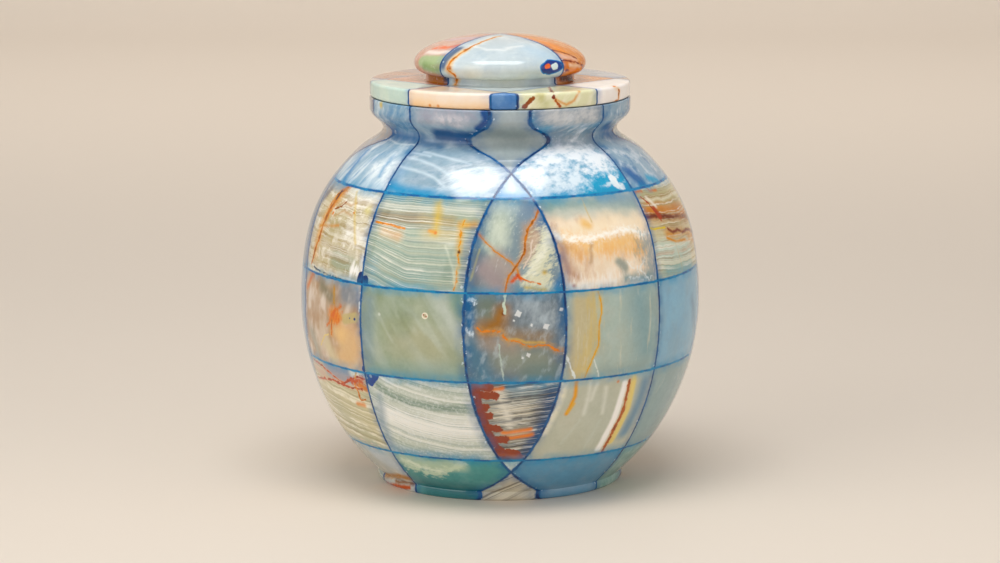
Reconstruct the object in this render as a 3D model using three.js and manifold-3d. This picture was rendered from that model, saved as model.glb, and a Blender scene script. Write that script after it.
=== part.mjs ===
// Funeral urn turned from a block of onyx stones that are glued with blue resin.
// Units are millimetres, +Z is up, and the origin is the middle of the underside.
// The viewer stands on the -Y side, so -Y is the front and +X is the right.
//
// A mason sawed the stones square, glued them in five level courses on a square grid
// of upright joints, and turned the whole block on a lathe. Each stone is one solid
// here: its cell of the grid, cut by the turned shape. The lid is glued and turned
// the same way, and only rests on the rim.

import * as THREE from 'three';
import { mergeVertices } from 'three/addons/utils/BufferGeometryUtils.js';
import Module from 'manifold-3d';

// Turned outside of the vessel, as [radius, height]
const FOOT_OUTLINE = [[69.2, 0], [70.3, 1.2], [70.5, 4], [70.1, 5.2]];
const BELLY_OUTLINE = [
  [70.1, 5.2], [78.4, 13.5], [89.8, 27.4], [101.2, 47.5], [110.6, 75.3],
  [113.7, 101], [112.5, 124.8], [107.7, 148.8], [94.4, 173.8], [82.6, 187],
  [75.6, 192.8], [69.5, 196.8],
];
const NECK_OUTLINE = [[69.5, 196.8], [66.4, 201.4], [69.2, 206.2]];
const RIM_OUTLINE = [[69.2, 206.2], [72.4, 209.2], [73.9, 212.2], [73.9, 218.2], [73.1, 219.2]];
const BELLY_STEPS = 13;
const NECK_STEPS = 4;

// Hollow of the vessel
const WALL = 12;
const MOUTH_RADIUS = 54;
const MOUTH_LIP_HEIGHT = 196;
const FLOOR_HEIGHT = 14;
const FLOOR_RADIUS = 50;
const CAVITY_HEIGHTS = [20, 36, 58, 84, 116, 146, 170, 184];

// Lid, a flat disc with a low domed knob turned on it
const LID_GAP = 0.3;
const LID_RADIUS = 73.7;
const LID_TOP = 228.4;
const LID_EDGE_ROUND = 1.6;
const SPIGOT_RADIUS = 52;
const SPIGOT_DEPTH = 5.5;
const STEM_RADIUS = 42;
const STEM_TOP = 232.4;
const STEM_MIDDLE = 230.5;
const STEM_COVE_WIDTH = 1;
const STEM_COVE_HEIGHT = 1.4;
const KNOB_RADIUS = 48.6;
const KNOB_WIDEST_HEIGHT = 238.2;
const OVERALL_HEIGHT = 254;
const DOME_STEPS = 5;
const KNOB_UNDER_STEPS = 3;

// Glue joints: two families of upright planes and four level ones
const JOINT = 0.3;
const BODY_GRID = 60.6;
const BODY_NORMALS = [-42.2, -129.4];
const LID_GRID = 46.5;
const LID_NORMALS = [-43.2, -133.4];
const COURSE_HEIGHTS = [27.4, 75.3, 124.8, 173.8];
const COURSES = ['foot', 'lower', 'middle', 'upper', 'shoulder'];

// Segments of the turned shapes, a radius past everything, and the overlap of blocks that join
const SHELL_SEGMENTS = 42;
const BEYOND = 130;
const OVERLAP = 1;

// Mean colour of each named stone, for the plain view of the solids
const COLOURS = {
  foot: ['#c9cdbc', '#4f8c8c', '#b9bfc0', '#5c7e9c', '#8fafa9', '#a9a08c'],
  lower: ['#9a6a52', '#b5c2b8', '#b7a99a', '#b4b5a3', '#869995', '#9c9aa3'],
  middle: ['#8b9aa0', '#9aa898', '#c8aa86', '#a9ad98', '#88a2bb', '#7c8188'],
  upper: ['#aeb2a4', '#c3c7b0', '#d9cfba', '#d9c3a9', '#bdb795', '#b9b2ad'],
  shoulder: ['#c3d2dc', '#9fb4cc', '#aec6d6', '#5fb0d8', '#8fa9c2', '#a3aaa8'],
  lid: ['#3d6fa8', '#f4d6b4', '#cfe0d6', '#d9cf9a', '#efe6dc', '#d6dad6'],
};

const wasm = await Module();
wasm.setup();

// A closed three.js geometry as a solid
function solidOf(geometry) {
  geometry.deleteAttribute('normal');
  geometry.deleteAttribute('uv');
  const merged = mergeVertices(geometry, 1e-4);
  return new wasm.Manifold(new wasm.Mesh({
    numProp: 3,
    vertProperties: new Float32Array(merged.attributes.position.array),
    triVerts: new Uint32Array(merged.index.array),
  }));
}

// A solid as a mesh with a name and a colour
function meshOf(solid, name, colour) {
  const { vertProperties, triVerts } = solid.getMesh();
  const geometry = new THREE.BufferGeometry();
  geometry.setAttribute('position', new THREE.BufferAttribute(vertProperties, 3));
  geometry.setIndex(new THREE.BufferAttribute(triVerts, 1));
  geometry.computeVertexNormals();
  const material = new THREE.MeshStandardMaterial({ color: colour, roughness: 0.1, metalness: 0 });
  const mesh = new THREE.Mesh(geometry, material);
  mesh.name = name;
  return mesh;
}

const points = (pairs) => pairs.map(([x, y]) => new THREE.Vector2(x, y));

// Points of a smooth curve through the given ones, without the last
function smooth(pairs, steps) {
  const curve = new THREE.SplineCurve(points(pairs));
  return curve.getPoints(steps).slice(0, -1);
}

// Quarter of an ellipse about a centre, from one angle to another in degrees
function arc(centre, halfWidth, halfHeight, from, to, steps) {
  const list = [];
  for (let i = 0; i <= steps; i += 1) {
    const angle = THREE.MathUtils.degToRad(from + ((to - from) * i) / steps);
    const x = centre[0] + halfWidth * Math.cos(angle);
    list.push(new THREE.Vector2(Math.max(x, 0), centre[1] + halfHeight * Math.sin(angle)));
  }
  return list;
}

// The lathe turns about +Y, so the turned shape is stood up on +Z
function turned(profile) {
  const geometry = new THREE.LatheGeometry(profile, SHELL_SEGMENTS);
  geometry.rotateX(Math.PI / 2);
  return solidOf(geometry);
}

// Outside of the vessel from the underside to the rim
function outsideProfile() {
  return [
    ...points(FOOT_OUTLINE).slice(0, -1),
    ...smooth(BELLY_OUTLINE, BELLY_STEPS),
    ...smooth(NECK_OUTLINE, NECK_STEPS),
    ...points(RIM_OUTLINE),
  ];
}

// Radius of the outside at a height
function outsideRadius(height, outside) {
  for (let i = 1; i < outside.length; i += 1) {
    const [low, high] = [outside[i - 1], outside[i]];
    if (height <= high.y) {
      const share = (height - low.y) / (high.y - low.y);
      return low.x + share * (high.x - low.x);
    }
  }
  return outside.at(-1).x;
}

// The vessel: outside, mouth, hollow one wall inside it, and floor
function vessel() {
  const outside = outsideProfile();
  const hollow = CAVITY_HEIGHTS.map((z) => new THREE.Vector2(outsideRadius(z, outside) - WALL, z));
  const rim = outside.at(-1);
  return turned([
    new THREE.Vector2(0, 0),
    ...outside,
    new THREE.Vector2(MOUTH_RADIUS, rim.y),
    new THREE.Vector2(MOUTH_RADIUS, MOUTH_LIP_HEIGHT),
    ...hollow.reverse(),
    new THREE.Vector2(FLOOR_RADIUS, FLOOR_HEIGHT),
    new THREE.Vector2(0, FLOOR_HEIGHT),
  ]);
}

// The lid: spigot, disc with a rounded edge, stem and knob
function lid() {
  const underside = RIM_OUTLINE.at(-1)[1] + LID_GAP;
  const edge = LID_RADIUS - LID_EDGE_ROUND;
  const knobUnder = KNOB_WIDEST_HEIGHT - STEM_TOP;
  const knobOverhang = KNOB_RADIUS - STEM_RADIUS;
  return turned([
    new THREE.Vector2(0, underside - SPIGOT_DEPTH),
    new THREE.Vector2(SPIGOT_RADIUS, underside - SPIGOT_DEPTH),
    new THREE.Vector2(SPIGOT_RADIUS, underside),
    ...arc([edge, underside + LID_EDGE_ROUND], LID_EDGE_ROUND, LID_EDGE_ROUND, -90, 0, 2),
    ...arc([edge, LID_TOP - LID_EDGE_ROUND], LID_EDGE_ROUND, LID_EDGE_ROUND, 0, 90, 2),
    new THREE.Vector2(STEM_RADIUS + STEM_COVE_WIDTH, LID_TOP),
    new THREE.Vector2(STEM_RADIUS, LID_TOP + STEM_COVE_HEIGHT),
    ...arc([STEM_RADIUS, KNOB_WIDEST_HEIGHT], knobOverhang, knobUnder, -90, 0, KNOB_UNDER_STEPS),
    ...arc([0, KNOB_WIDEST_HEIGHT], KNOB_RADIUS, OVERALL_HEIGHT - KNOB_WIDEST_HEIGHT, 0, 90,
      DOME_STEPS).slice(1),
  ]);
}

// Place in plan of a point given by its distances from the two joint planes on the axis
function planPoint([u, v], normals) {
  const [a, b] = normals.map(THREE.MathUtils.degToRad);
  const scale = 1 / Math.sin(b - a);
  return new THREE.Vector2(
    scale * (u * Math.sin(b) - v * Math.sin(a)),
    scale * (v * Math.cos(a) - u * Math.cos(b)),
  );
}

// Upright prism over one or more corner lists, between two heights
function prism(cell, normals, low, high) {
  let whole = null;
  for (const corners of cell) {
    const plan = corners.map((corner) => planPoint(corner, normals));
    if (THREE.ShapeUtils.area(plan) < 0) plan.reverse();
    const geometry = new THREE.ExtrudeGeometry(new THREE.Shape(plan), {
      depth: high - low,
      bevelEnabled: false,
    });
    geometry.translate(0, 0, low);
    const solid = solidOf(geometry);
    whole = whole ? whole.add(solid) : solid;
  }
  return whole;
}

const box = (u0, u1, v0, v1) => [[u0, v0], [u1, v0], [u1, v1], [u0, v1]];

// Cells of the stones that have a node of their own. In the foot, the shoulder and the
// lid the grid also makes four inner stones that meet on the axis. In the belly the
// wall is outside them, so a side stone runs to the diagonal instead. In the foot the
// left and right corners lie just outside the turned shape, and the side stones meet there.
function cells(grid, withInner, withSideCorners = true) {
  const g = JOINT / 2;
  const near = grid - g;
  const far = grid + g;
  const side = (flip) => {
    const corners = withInner
      ? [[g, far], [near, far], [near, BEYOND], [g, BEYOND]]
      : [[g, JOINT], [near, near + JOINT], [near, BEYOND], [g, BEYOND]];
    return corners.map(flip);
  };
  const list = {
    corner_front: [box(far, BEYOND, far, BEYOND)],
    side_front_left_near: [side(([u, v]) => [u, v])],
    side_front_left_far: [side(([u, v]) => [-u, v])],
    side_front_right_near: [side(([u, v]) => [v, u])],
    side_front_right_far: [side(([u, v]) => [v, -u])],
    corner_left: [box(-BEYOND, -far, far, BEYOND)],
    corner_right: [box(far, BEYOND, -BEYOND, -far)],
  };
  if (!withSideCorners) {
    list.side_front_left_far = [box(-BEYOND, -g, far, BEYOND)];
    list.side_front_right_far = [box(far, BEYOND, -BEYOND, -g)];
    delete list.corner_left;
    delete list.corner_right;
  }
  if (withInner) {
    list.inner_front = [box(g, near, g, near)];
    list.inner_left = [box(-near, -g, g, near)];
    list.inner_right = [box(g, near, -near, -g)];
    list.inner_back = [box(-near, -g, -near, -g)];
    list.rear_stones = [box(-BEYOND, -far, -BEYOND, near), box(-BEYOND, near, -BEYOND, -far)];
  } else {
    const back = -g - OVERLAP;
    list.rear_stones = [
      box(-BEYOND, -g, -BEYOND, -g),
      [[-JOINT, back], [-near - JOINT, near], [-BEYOND, near], [-BEYOND, back]],
      [[back, -JOINT], [back, -BEYOND], [near, -BEYOND], [near, -near - JOINT]],
    ];
  }
  return list;
}

// Colour of a stone by its place: corner, near side, far side and inner stones
function colourOf(course, place) {
  const order = ['corner_front', 'side_front_left_near', 'side_front_left_far',
    'side_front_right_near', 'side_front_right_far'];
  const index = order.indexOf(place);
  return COLOURS[course][index < 0 ? order.length : index];
}

// All stones of one course of the vessel, cut from the turned shape
function course(name, shape, withInner, low, high) {
  const group = new THREE.Group();
  for (const [place, cell] of Object.entries(cells(BODY_GRID, withInner, name !== 'foot'))) {
    const stone = shape.intersect(prism(cell, BODY_NORMALS, low, high));
    group.add(meshOf(stone, `${name}_${place}`, colourOf(name, place)));
  }
  return group;
}

// All stones of the lid. Each of the four inner ones runs up into a quarter of the knob,
// which overhangs the grid, and the others stop below it.
function lidStones() {
  const group = new THREE.Group();
  const shape = lid();
  const g = JOINT / 2;
  const quarters = {
    inner_front: box(g, BEYOND, g, BEYOND),
    inner_left: box(-BEYOND, -g, g, BEYOND),
    inner_right: box(g, BEYOND, -BEYOND, -g),
    inner_back: box(-BEYOND, -g, -BEYOND, -g),
  };
  for (const [place, cell] of Object.entries(cells(LID_GRID, true))) {
    let block = prism(cell, LID_NORMALS, 0, STEM_MIDDLE);
    if (quarters[place]) {
      const low = STEM_MIDDLE - OVERLAP;
      const high = OVERALL_HEIGHT + OVERLAP;
      block = block.add(prism([quarters[place]], LID_NORMALS, low, high));
    }
    const stone = shape.intersect(block);
    group.add(meshOf(stone, `lid_${place}`, colourOf('lid', place)));
  }
  return group;
}

const urn = new THREE.Group();
const vesselShape = vessel();
COURSES.forEach((name, i) => {
  const low = i === 0 ? -OVERLAP : COURSE_HEIGHTS[i - 1] + JOINT / 2;
  const high = i === COURSES.length - 1 ? OVERALL_HEIGHT : COURSE_HEIGHTS[i] - JOINT / 2;
  const withInner = i === 0 || i === COURSES.length - 1;
  urn.add(course(name, vesselShape, withInner, low, high));
});
urn.add(lidStones());

export default urn;
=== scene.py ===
# %% [markdown]
# A funeral urn of glued onyx. The real urn is a block of square-sawn onyx stones, glued with
# blue resin in five level courses, then turned hollow on a lathe and polished until the stones
# and the resin are one smooth skin. The lid is glued and turned the same way.
#
# The order here follows the maker: first the turned outline, then the grid of joints that parts
# it into stones, then the resin that fills the joints, then the look of each stone, and last the
# light and the camera. Each step says what the real thing is before it makes it.

# %% Load the imported model, and keep its box, whose top gives the overall height
import math

import bmesh
import bpy
import numpy as np
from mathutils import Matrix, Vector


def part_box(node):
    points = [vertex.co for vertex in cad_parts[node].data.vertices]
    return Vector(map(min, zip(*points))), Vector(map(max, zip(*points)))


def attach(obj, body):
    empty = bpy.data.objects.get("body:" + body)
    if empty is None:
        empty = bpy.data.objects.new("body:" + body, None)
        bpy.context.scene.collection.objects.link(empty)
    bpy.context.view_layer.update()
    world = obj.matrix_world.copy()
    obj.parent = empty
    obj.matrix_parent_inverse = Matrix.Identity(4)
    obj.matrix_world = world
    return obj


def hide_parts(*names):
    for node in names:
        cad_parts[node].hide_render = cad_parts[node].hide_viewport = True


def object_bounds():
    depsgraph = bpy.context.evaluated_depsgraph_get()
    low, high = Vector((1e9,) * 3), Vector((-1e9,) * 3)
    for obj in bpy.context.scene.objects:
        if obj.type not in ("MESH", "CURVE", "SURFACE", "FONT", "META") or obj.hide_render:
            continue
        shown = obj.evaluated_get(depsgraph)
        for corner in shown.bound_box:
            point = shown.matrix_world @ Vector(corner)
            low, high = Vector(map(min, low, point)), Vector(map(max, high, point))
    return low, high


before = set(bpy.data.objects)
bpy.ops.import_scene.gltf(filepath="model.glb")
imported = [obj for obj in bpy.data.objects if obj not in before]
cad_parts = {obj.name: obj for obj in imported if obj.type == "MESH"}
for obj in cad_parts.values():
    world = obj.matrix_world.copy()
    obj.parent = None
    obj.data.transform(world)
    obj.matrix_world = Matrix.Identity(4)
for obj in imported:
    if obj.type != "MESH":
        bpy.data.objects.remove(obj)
CAD_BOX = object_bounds()
MM = 0.001
print("the packed model is", [round((b - a) / MM, 1) for a, b in zip(*CAD_BOX)], "mm")

# %% [markdown]
# One function turns an sRGB hex colour, as read off a photograph, to the linear values that
# Blender's shaders work in.

# %% Colours
def linear(hex_colour, alpha=1.0):
    """Linear RGBA of an sRGB hex colour: c / 12.92 when dark, and ((c + 0.055) / 1.055) ** 2.4 otherwise."""
    digits = hex_colour.lstrip("#")
    c = np.array([int(digits[i:i + 2], 16) for i in (0, 2, 4)]) / 255
    c = np.where(c <= 0.04045, c / 12.92, ((c + 0.055) / 1.055) ** 2.4)
    return (*[float(x) for x in c], alpha)


print("a grey that looks half as bright as white is", round(linear("#808080")[0], 3), "in linear light")

# %% [markdown]
# The turned outline. A turner works from a profile: the radius at each height. Between the
# measured stations the outside is one smooth curve, so a natural cubic spline is drawn through
# them. Its slope gives the exact surface normal, which is used later so that a reflection runs
# over the stones and the joints without a break.

# %% Outline of the vessel, in millimetres, as (height, radius)
FOOT_OUTLINE = [(0.0, 69.0), (0.5, 69.7), (1.4, 70.3), (2.8, 70.5), (4.2, 70.4), (5.2, 70.1)]
BELLY_OUTLINE = [
    (5.2, 70.1), (13.5, 78.4), (27.4, 89.8), (47.5, 101.2), (75.3, 110.6), (101.0, 113.7),
    (124.8, 112.5), (148.8, 107.7), (173.8, 94.4), (187.0, 82.6), (192.8, 75.6), (196.8, 69.5),
    (201.4, 66.4), (206.2, 69.2), (209.2, 72.4), (212.2, 73.9),
]
BELLY_STEP = 1.6
NECK_START = 180
NECK_STEP = 0.8
RIM_BAND = (212.2, 213.7, 215.2, 216.7)
RIM_TOP = 219.2
RIM_ROUND = 0.9
EDGE_POINTS = 6
WALL = 12.0
MOUTH_RADIUS = 54.0
MOUTH_LIP_HEIGHT = 196.0
FLOOR_HEIGHT = 14.0
FLOOR_RADIUS = 50.0
CAVITY_HEIGHTS = [20, 36, 58, 84, 116, 146, 170, 184]


def spline(stations, xs):
    """Natural cubic spline through (x, y) stations: the second slopes m solve one linear system,
    and each stretch is the cubic with those second slopes at its ends."""
    x, y = np.array(stations, float).T
    h = np.diff(x)
    n = len(x)
    a = np.eye(n)
    b = np.zeros(n)
    inner = np.arange(1, n - 1)
    a[inner, inner - 1] = h[:-1]
    a[inner, inner] = 2 * (h[:-1] + h[1:])
    a[inner, inner + 1] = h[1:]
    b[inner] = 6 * (np.diff(y)[1:] / h[1:] - np.diff(y)[:-1] / h[:-1])
    m = np.linalg.solve(a, b)
    xs = np.asarray(xs, float)
    i = np.clip(np.searchsorted(x, xs) - 1, 0, n - 2)
    left, right = xs - x[i], x[i + 1] - xs
    cubic = (m[i] * right ** 3 + m[i + 1] * left ** 3) / (6 * h[i])
    return cubic + (y[i] / h[i] - m[i] * h[i] / 6) * right + (y[i + 1] / h[i] - m[i + 1] * h[i] / 6) * left


def quarter(centre, half_width, half_height, start, end, steps):
    """Points of an ellipse about a centre, between two angles in degrees."""
    t = np.radians(np.linspace(start, end, steps))
    return np.stack([centre[0] + half_width * np.cos(t), centre[1] + half_height * np.sin(t)], 1)


def vessel_outside():
    """(radius, height) points from the underside to the top of the rim."""
    foot = np.array(FOOT_OUTLINE)[:, ::-1]
    (bottom, _), (top, rim_radius) = BELLY_OUTLINE[0], BELLY_OUTLINE[-1]
    heights = np.concatenate([np.arange(bottom, NECK_START, BELLY_STEP)[1:],
                              np.arange(NECK_START, top, NECK_STEP)])
    belly = np.stack([spline(BELLY_OUTLINE, heights), heights], 1)
    band = np.array([[rim_radius, z] for z in RIM_BAND])
    edge = quarter((rim_radius - RIM_ROUND, RIM_TOP - RIM_ROUND), RIM_ROUND, RIM_ROUND, 0, 90, EDGE_POINTS)
    return np.concatenate([foot, belly, band, edge])


def vessel_inside():
    """(radius, height) points from the floor up to the mouth."""
    z = np.array(CAVITY_HEIGHTS, float)
    hollow = np.stack([spline(BELLY_OUTLINE, z) - WALL, z], 1)
    mouth = [[MOUTH_RADIUS, MOUTH_LIP_HEIGHT], [MOUTH_RADIUS, RIM_TOP]]
    return np.concatenate([[[FLOOR_RADIUS, FLOOR_HEIGHT]], hollow, mouth])


OUTSIDE = vessel_outside()
INSIDE = vessel_inside()
print("the outside has", len(OUTSIDE), "profile points, widest", round(OUTSIDE[:, 0].max() * 2, 1), "mm")

# %% [markdown]
# The lid is a flat disc, with a spigot below it that finds the mouth, and a low knob on a short
# stem above it. Its profile is drawn as straight lines and quarter ellipses.

# %% Outline of the lid, in millimetres
LID_GAP = 0.3
LID_UNDERSIDE = RIM_TOP + LID_GAP
LID_RADIUS = 73.7
LID_TOP = 228.4
LID_EDGE_ROUND = 1.6
LID_TOP_RADII = (66.0, 60.0, 54.0, 48.0)
SPIGOT_RADIUS = 52.0
SPIGOT_DEPTH = 5.5
STEM_RADIUS = 42.0
STEM_TOP = 232.4
STEM_MIDDLE = 230.5
STEM_COVE = 1.4
COVE_POINTS = 5
KNOB_RADIUS = 48.6
KNOB_WIDEST = 238.2
UNDERCUT_POINTS = 12
DOME_POINTS = 30
OVERALL_HEIGHT = CAD_BOX[1][2] / MM


def lid_outside():
    """(radius, height) points from the disc's lower edge over the disc, stem and knob to the top."""
    middle, r = LID_RADIUS - LID_EDGE_ROUND, LID_EDGE_ROUND
    low = quarter((middle, LID_UNDERSIDE + r), r, r, -90, 0, EDGE_POINTS)
    high = quarter((middle, LID_TOP - r), r, r, 0, 90, EDGE_POINTS)
    flat = np.array([[radius, LID_TOP] for radius in LID_TOP_RADII])
    cove = quarter((STEM_RADIUS + STEM_COVE, LID_TOP + STEM_COVE), STEM_COVE, STEM_COVE,
                   270, 180, COVE_POINTS)
    under = quarter((STEM_RADIUS, KNOB_WIDEST), KNOB_RADIUS - STEM_RADIUS, KNOB_WIDEST - STEM_TOP,
                    -90, 0, UNDERCUT_POINTS)
    dome = quarter((0, KNOB_WIDEST), KNOB_RADIUS, OVERALL_HEIGHT - KNOB_WIDEST, 0, 90, DOME_POINTS)[1:]
    dome[-1, 0] = 0
    return np.concatenate([low, high, flat, cove, under, dome])


LID_OUTSIDE = lid_outside()
LID_INSIDE = np.array([[0, LID_UNDERSIDE - SPIGOT_DEPTH], [SPIGOT_RADIUS, LID_UNDERSIDE - SPIGOT_DEPTH],
                       [SPIGOT_RADIUS, LID_UNDERSIDE]])
print("the lid has", len(LID_OUTSIDE), "profile points")

# %% [markdown]
# Turning a profile is one array sum: every profile point times every angle. The same call makes
# a closed ring of any profile that comes back to its start, or that begins and ends on the axis.
# A stone is then cut from its ring with an upright prism, as a saw would.

# %% Objects and turned solids
SEGMENTS = 216
DOUBLES = 1e-7
TINY = 1e-9


def placed(name, data):
    """A new object in the scene that shows a mesh, a light or a camera."""
    made = bpy.data.objects.new(name, data)
    bpy.context.scene.collection.objects.link(made)
    return made


def mesh_of(name, vertices, faces):
    """A mesh object in metres from vertices in millimetres."""
    mesh = bpy.data.meshes.new(name)
    mesh.from_pydata((np.asarray(vertices) * MM).tolist(), [], faces)
    mesh.validate()
    return placed(name, mesh)


def merge(piece):
    """Merges the doubles of a mesh and turns its faces outwards."""
    b = bmesh.new()
    b.from_mesh(piece.data)
    bmesh.ops.remove_doubles(b, verts=b.verts, dist=DOUBLES)
    bmesh.ops.recalc_face_normals(b, faces=b.faces)
    b.to_mesh(piece.data)
    b.free()


def turned(name, profile):
    """Every (radius, height) of a closed profile at every angle, joined ring to ring. Points on
    the axis make fans, because their doubles are merged into one."""
    t = np.arange(SEGMENTS) / SEGMENTS * 2 * np.pi
    r, z = np.asarray(profile, float).T
    ring = np.stack([np.outer(np.cos(t), r), np.outer(np.sin(t), r), np.tile(z, (SEGMENTS, 1))], -1)
    a = np.arange(SEGMENTS * len(r)).reshape(SEGMENTS, len(r))
    b = np.roll(a, -1, 0)
    quads = np.stack([a, b, np.roll(b, -1, 1), np.roll(a, -1, 1)], -1)
    on_axis = r < TINY
    along_axis = on_axis & np.roll(on_axis, -1)
    made = mesh_of(name, ring.reshape(-1, 3), quads[:, ~along_axis].reshape(-1, 4).tolist())
    merge(made)
    return made


# %% Upright prisms, and cuts with them
def plan_point(uv, normals):
    """Place in plan of a point at given distances from the two joint planes on the axis."""
    a, b = np.radians(normals)
    matrix = np.array([[math.cos(a), math.sin(a)], [math.cos(b), math.sin(b)]])
    return np.linalg.solve(matrix, np.asarray(uv, float))


def prism(name, corners, normals, low, high):
    """Upright prism over corners given by their distances from the joint planes."""
    plan = np.array([plan_point(c, normals) for c in corners])
    x, y = plan.T
    if np.sum(x * np.roll(y, -1) - y * np.roll(x, -1)) < 0:
        plan = plan[::-1]
    n = len(plan)
    vertices = [(*p, low) for p in plan] + [(*p, high) for p in plan]
    sides = [(i, (i + 1) % n, n + (i + 1) % n, n + i) for i in range(n)]
    return mesh_of(name, vertices, [tuple(range(n))[::-1], tuple(range(n, 2 * n)), *sides])


def combine(piece, other, how):
    """Joins or cuts closed meshes, and puts the result in the first one's mesh."""
    modifier = piece.modifiers.new("cut", "BOOLEAN")
    modifier.solver = "MANIFOLD"
    modifier.operation = how
    modifier.object = other
    result = bpy.data.meshes.new_from_object(piece.evaluated_get(bpy.context.evaluated_depsgraph_get()))
    piece.modifiers.clear()
    old = piece.data
    piece.data = result
    result.name = piece.name
    bpy.data.meshes.remove(old)


def forget(*pieces):
    """Removes helper meshes that were only used for cutting."""
    for piece in pieces:
        mesh = piece.data
        bpy.data.objects.remove(piece)
        bpy.data.meshes.remove(mesh)


# %% [markdown]
# The joints. Two families of upright planes cross on the axis, and each has one more plane on
# either side of it. Four level planes part the courses. A stone is what lies between its planes,
# so it is a prism cut with the turned ring of its course. The glue line shows about one
# millimetre wide, and that gap is left between the stones.

# %% Joint planes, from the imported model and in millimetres
BODY_GRID = 60.6
BODY_NORMALS = (-42.2, -129.4)
LID_GRID = 46.5
LID_NORMALS = (-43.2, -133.4)
GLUE_LINE = 1.0
HALF_GAP = GLUE_LINE / 2
BEYOND = 130.0
COURSES = ["foot", "lower", "middle", "upper", "shoulder"]


def joint_height(below, above):
    """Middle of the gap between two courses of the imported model."""
    return (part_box(below + "_corner_front")[1][2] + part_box(above + "_corner_front")[0][2]) / 2 / MM


JOINT_HEIGHTS = [joint_height(a, b) for a, b in zip(COURSES[:-1], COURSES[1:])]
print("level joints at", [round(z, 1) for z in JOINT_HEIGHTS], "mm")


def box(u0, u1, v0, v1):
    """Corners of a cell between two planes of each family."""
    return [(u0, v0), (u1, v0), (u1, v1), (u0, v1)]


def cells(grid, with_inner):
    """Cells of the joint grid by the stones' names. u counts towards the right front, v towards
    the left front. Where there are inner stones, a side stone stops at them, and elsewhere it
    runs to the diagonal."""
    g = HALF_GAP
    near, far = grid - g, grid + g
    if with_inner:
        side = [(g, far), (near, far), (near, BEYOND), (g, BEYOND)]
    else:
        side = [(g, 2 * g), (near, near + 2 * g), (near, BEYOND), (g, BEYOND)]
    places = {
        "side_front_left_near": lambda u, v: (u, v),
        "side_front_left_far": lambda u, v: (-u, v),
        "side_front_right_near": lambda u, v: (v, u),
        "side_front_right_far": lambda u, v: (v, -u),
        "side_back_left_near": lambda u, v: (-v, -u),
        "side_back_left_far": lambda u, v: (-v, u),
        "side_back_right_near": lambda u, v: (-u, -v),
        "side_back_right_far": lambda u, v: (u, -v),
    }
    found = {name: [place(*c) for c in side] for name, place in places.items()}
    signs = {"front": (1, 1), "left": (-1, 1), "right": (1, -1), "back": (-1, -1)}
    for name, (su, sv) in signs.items():
        found["corner_" + name] = [(su * u, sv * v) for u, v in box(far, BEYOND, far, BEYOND)]
        if with_inner:
            found["inner_" + name] = [(su * u, sv * v) for u, v in box(g, near, g, near)]
    return found


print("the grid parts the shoulder into", len(cells(BODY_GRID, True)), "cells")

# %% [markdown]
# Highlights on a polished glue-up don't know about the joints, so each face that lies on the
# turned skin gets the normal of the outline itself, and each sawn face stays flat.
#
# A face counts as skin if its middle is within ON_SKIN millimetres of the outline, and the
# cosine between its own normal and the outline's is over SAME_WAY. Two pieces of the outline
# share a normal where they meet, unless the cosine between them is under SOFT_BEND, as at a
# corner. To tell the two sides of a corner apart, each place is first moved a small share,
# NUDGE, towards the middle of its face.

# %% Normals from the outline
ON_SKIN = 0.12
SAME_WAY = 0.9
SOFT_BEND = 0.86
NUDGE = 0.02


def read(items, name, width, kind):
    """One property of all of a mesh's items, as an array with a row for each."""
    values = np.empty(len(items) * width, kind)
    items.foreach_get(name, values)
    return values.reshape(-1, width)


def nearest(profile, points):
    """Distance of each point to the profile, and the outline's normal there as (radial, upward):
    along each piece it blends from the normal at the piece's start to the one at its end."""
    q = np.stack([np.hypot(points[:, 0], points[:, 1]), points[:, 2]], 1)
    a = profile[:-1]
    ab = profile[1:] - a
    best = np.full(len(q), np.inf)
    out = np.zeros((len(q), 2))
    side = np.stack([ab[:, 1], -ab[:, 0]], 1)
    side /= np.maximum(np.linalg.norm(side, axis=1), TINY)[:, None]
    soft = np.einsum("ij,ij->i", side[:-1], side[1:]) > SOFT_BEND
    joined = np.zeros((len(profile), 2, 2))
    joined[:-1, 1] = side
    joined[1:, 0] = side
    mean = side[:-1] + side[1:]
    mean /= np.linalg.norm(mean, axis=1)[:, None]
    joined[1:-1][soft] = mean[soft][:, None]
    for i in range(len(a)):
        t = np.clip(((q - a[i]) @ ab[i]) / max(ab[i] @ ab[i], TINY), 0, 1)
        d = np.linalg.norm(q - a[i] - t[:, None] * ab[i], axis=1)
        better = d < best
        best[better] = d[better]
        blend = (1 - t)[:, None] * joined[i, 1] + t[:, None] * joined[i + 1, 0]
        out[better] = blend[better]
    return best, out / np.maximum(np.linalg.norm(out, axis=1), TINY)[:, None]


def swung(normal, points):
    """(radial, upward) normals swung round the axis to the points."""
    angle = np.arctan2(points[:, 1], points[:, 0])
    return np.stack([normal[:, 0] * np.cos(angle), normal[:, 0] * np.sin(angle), normal[:, 1]], 1)


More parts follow.
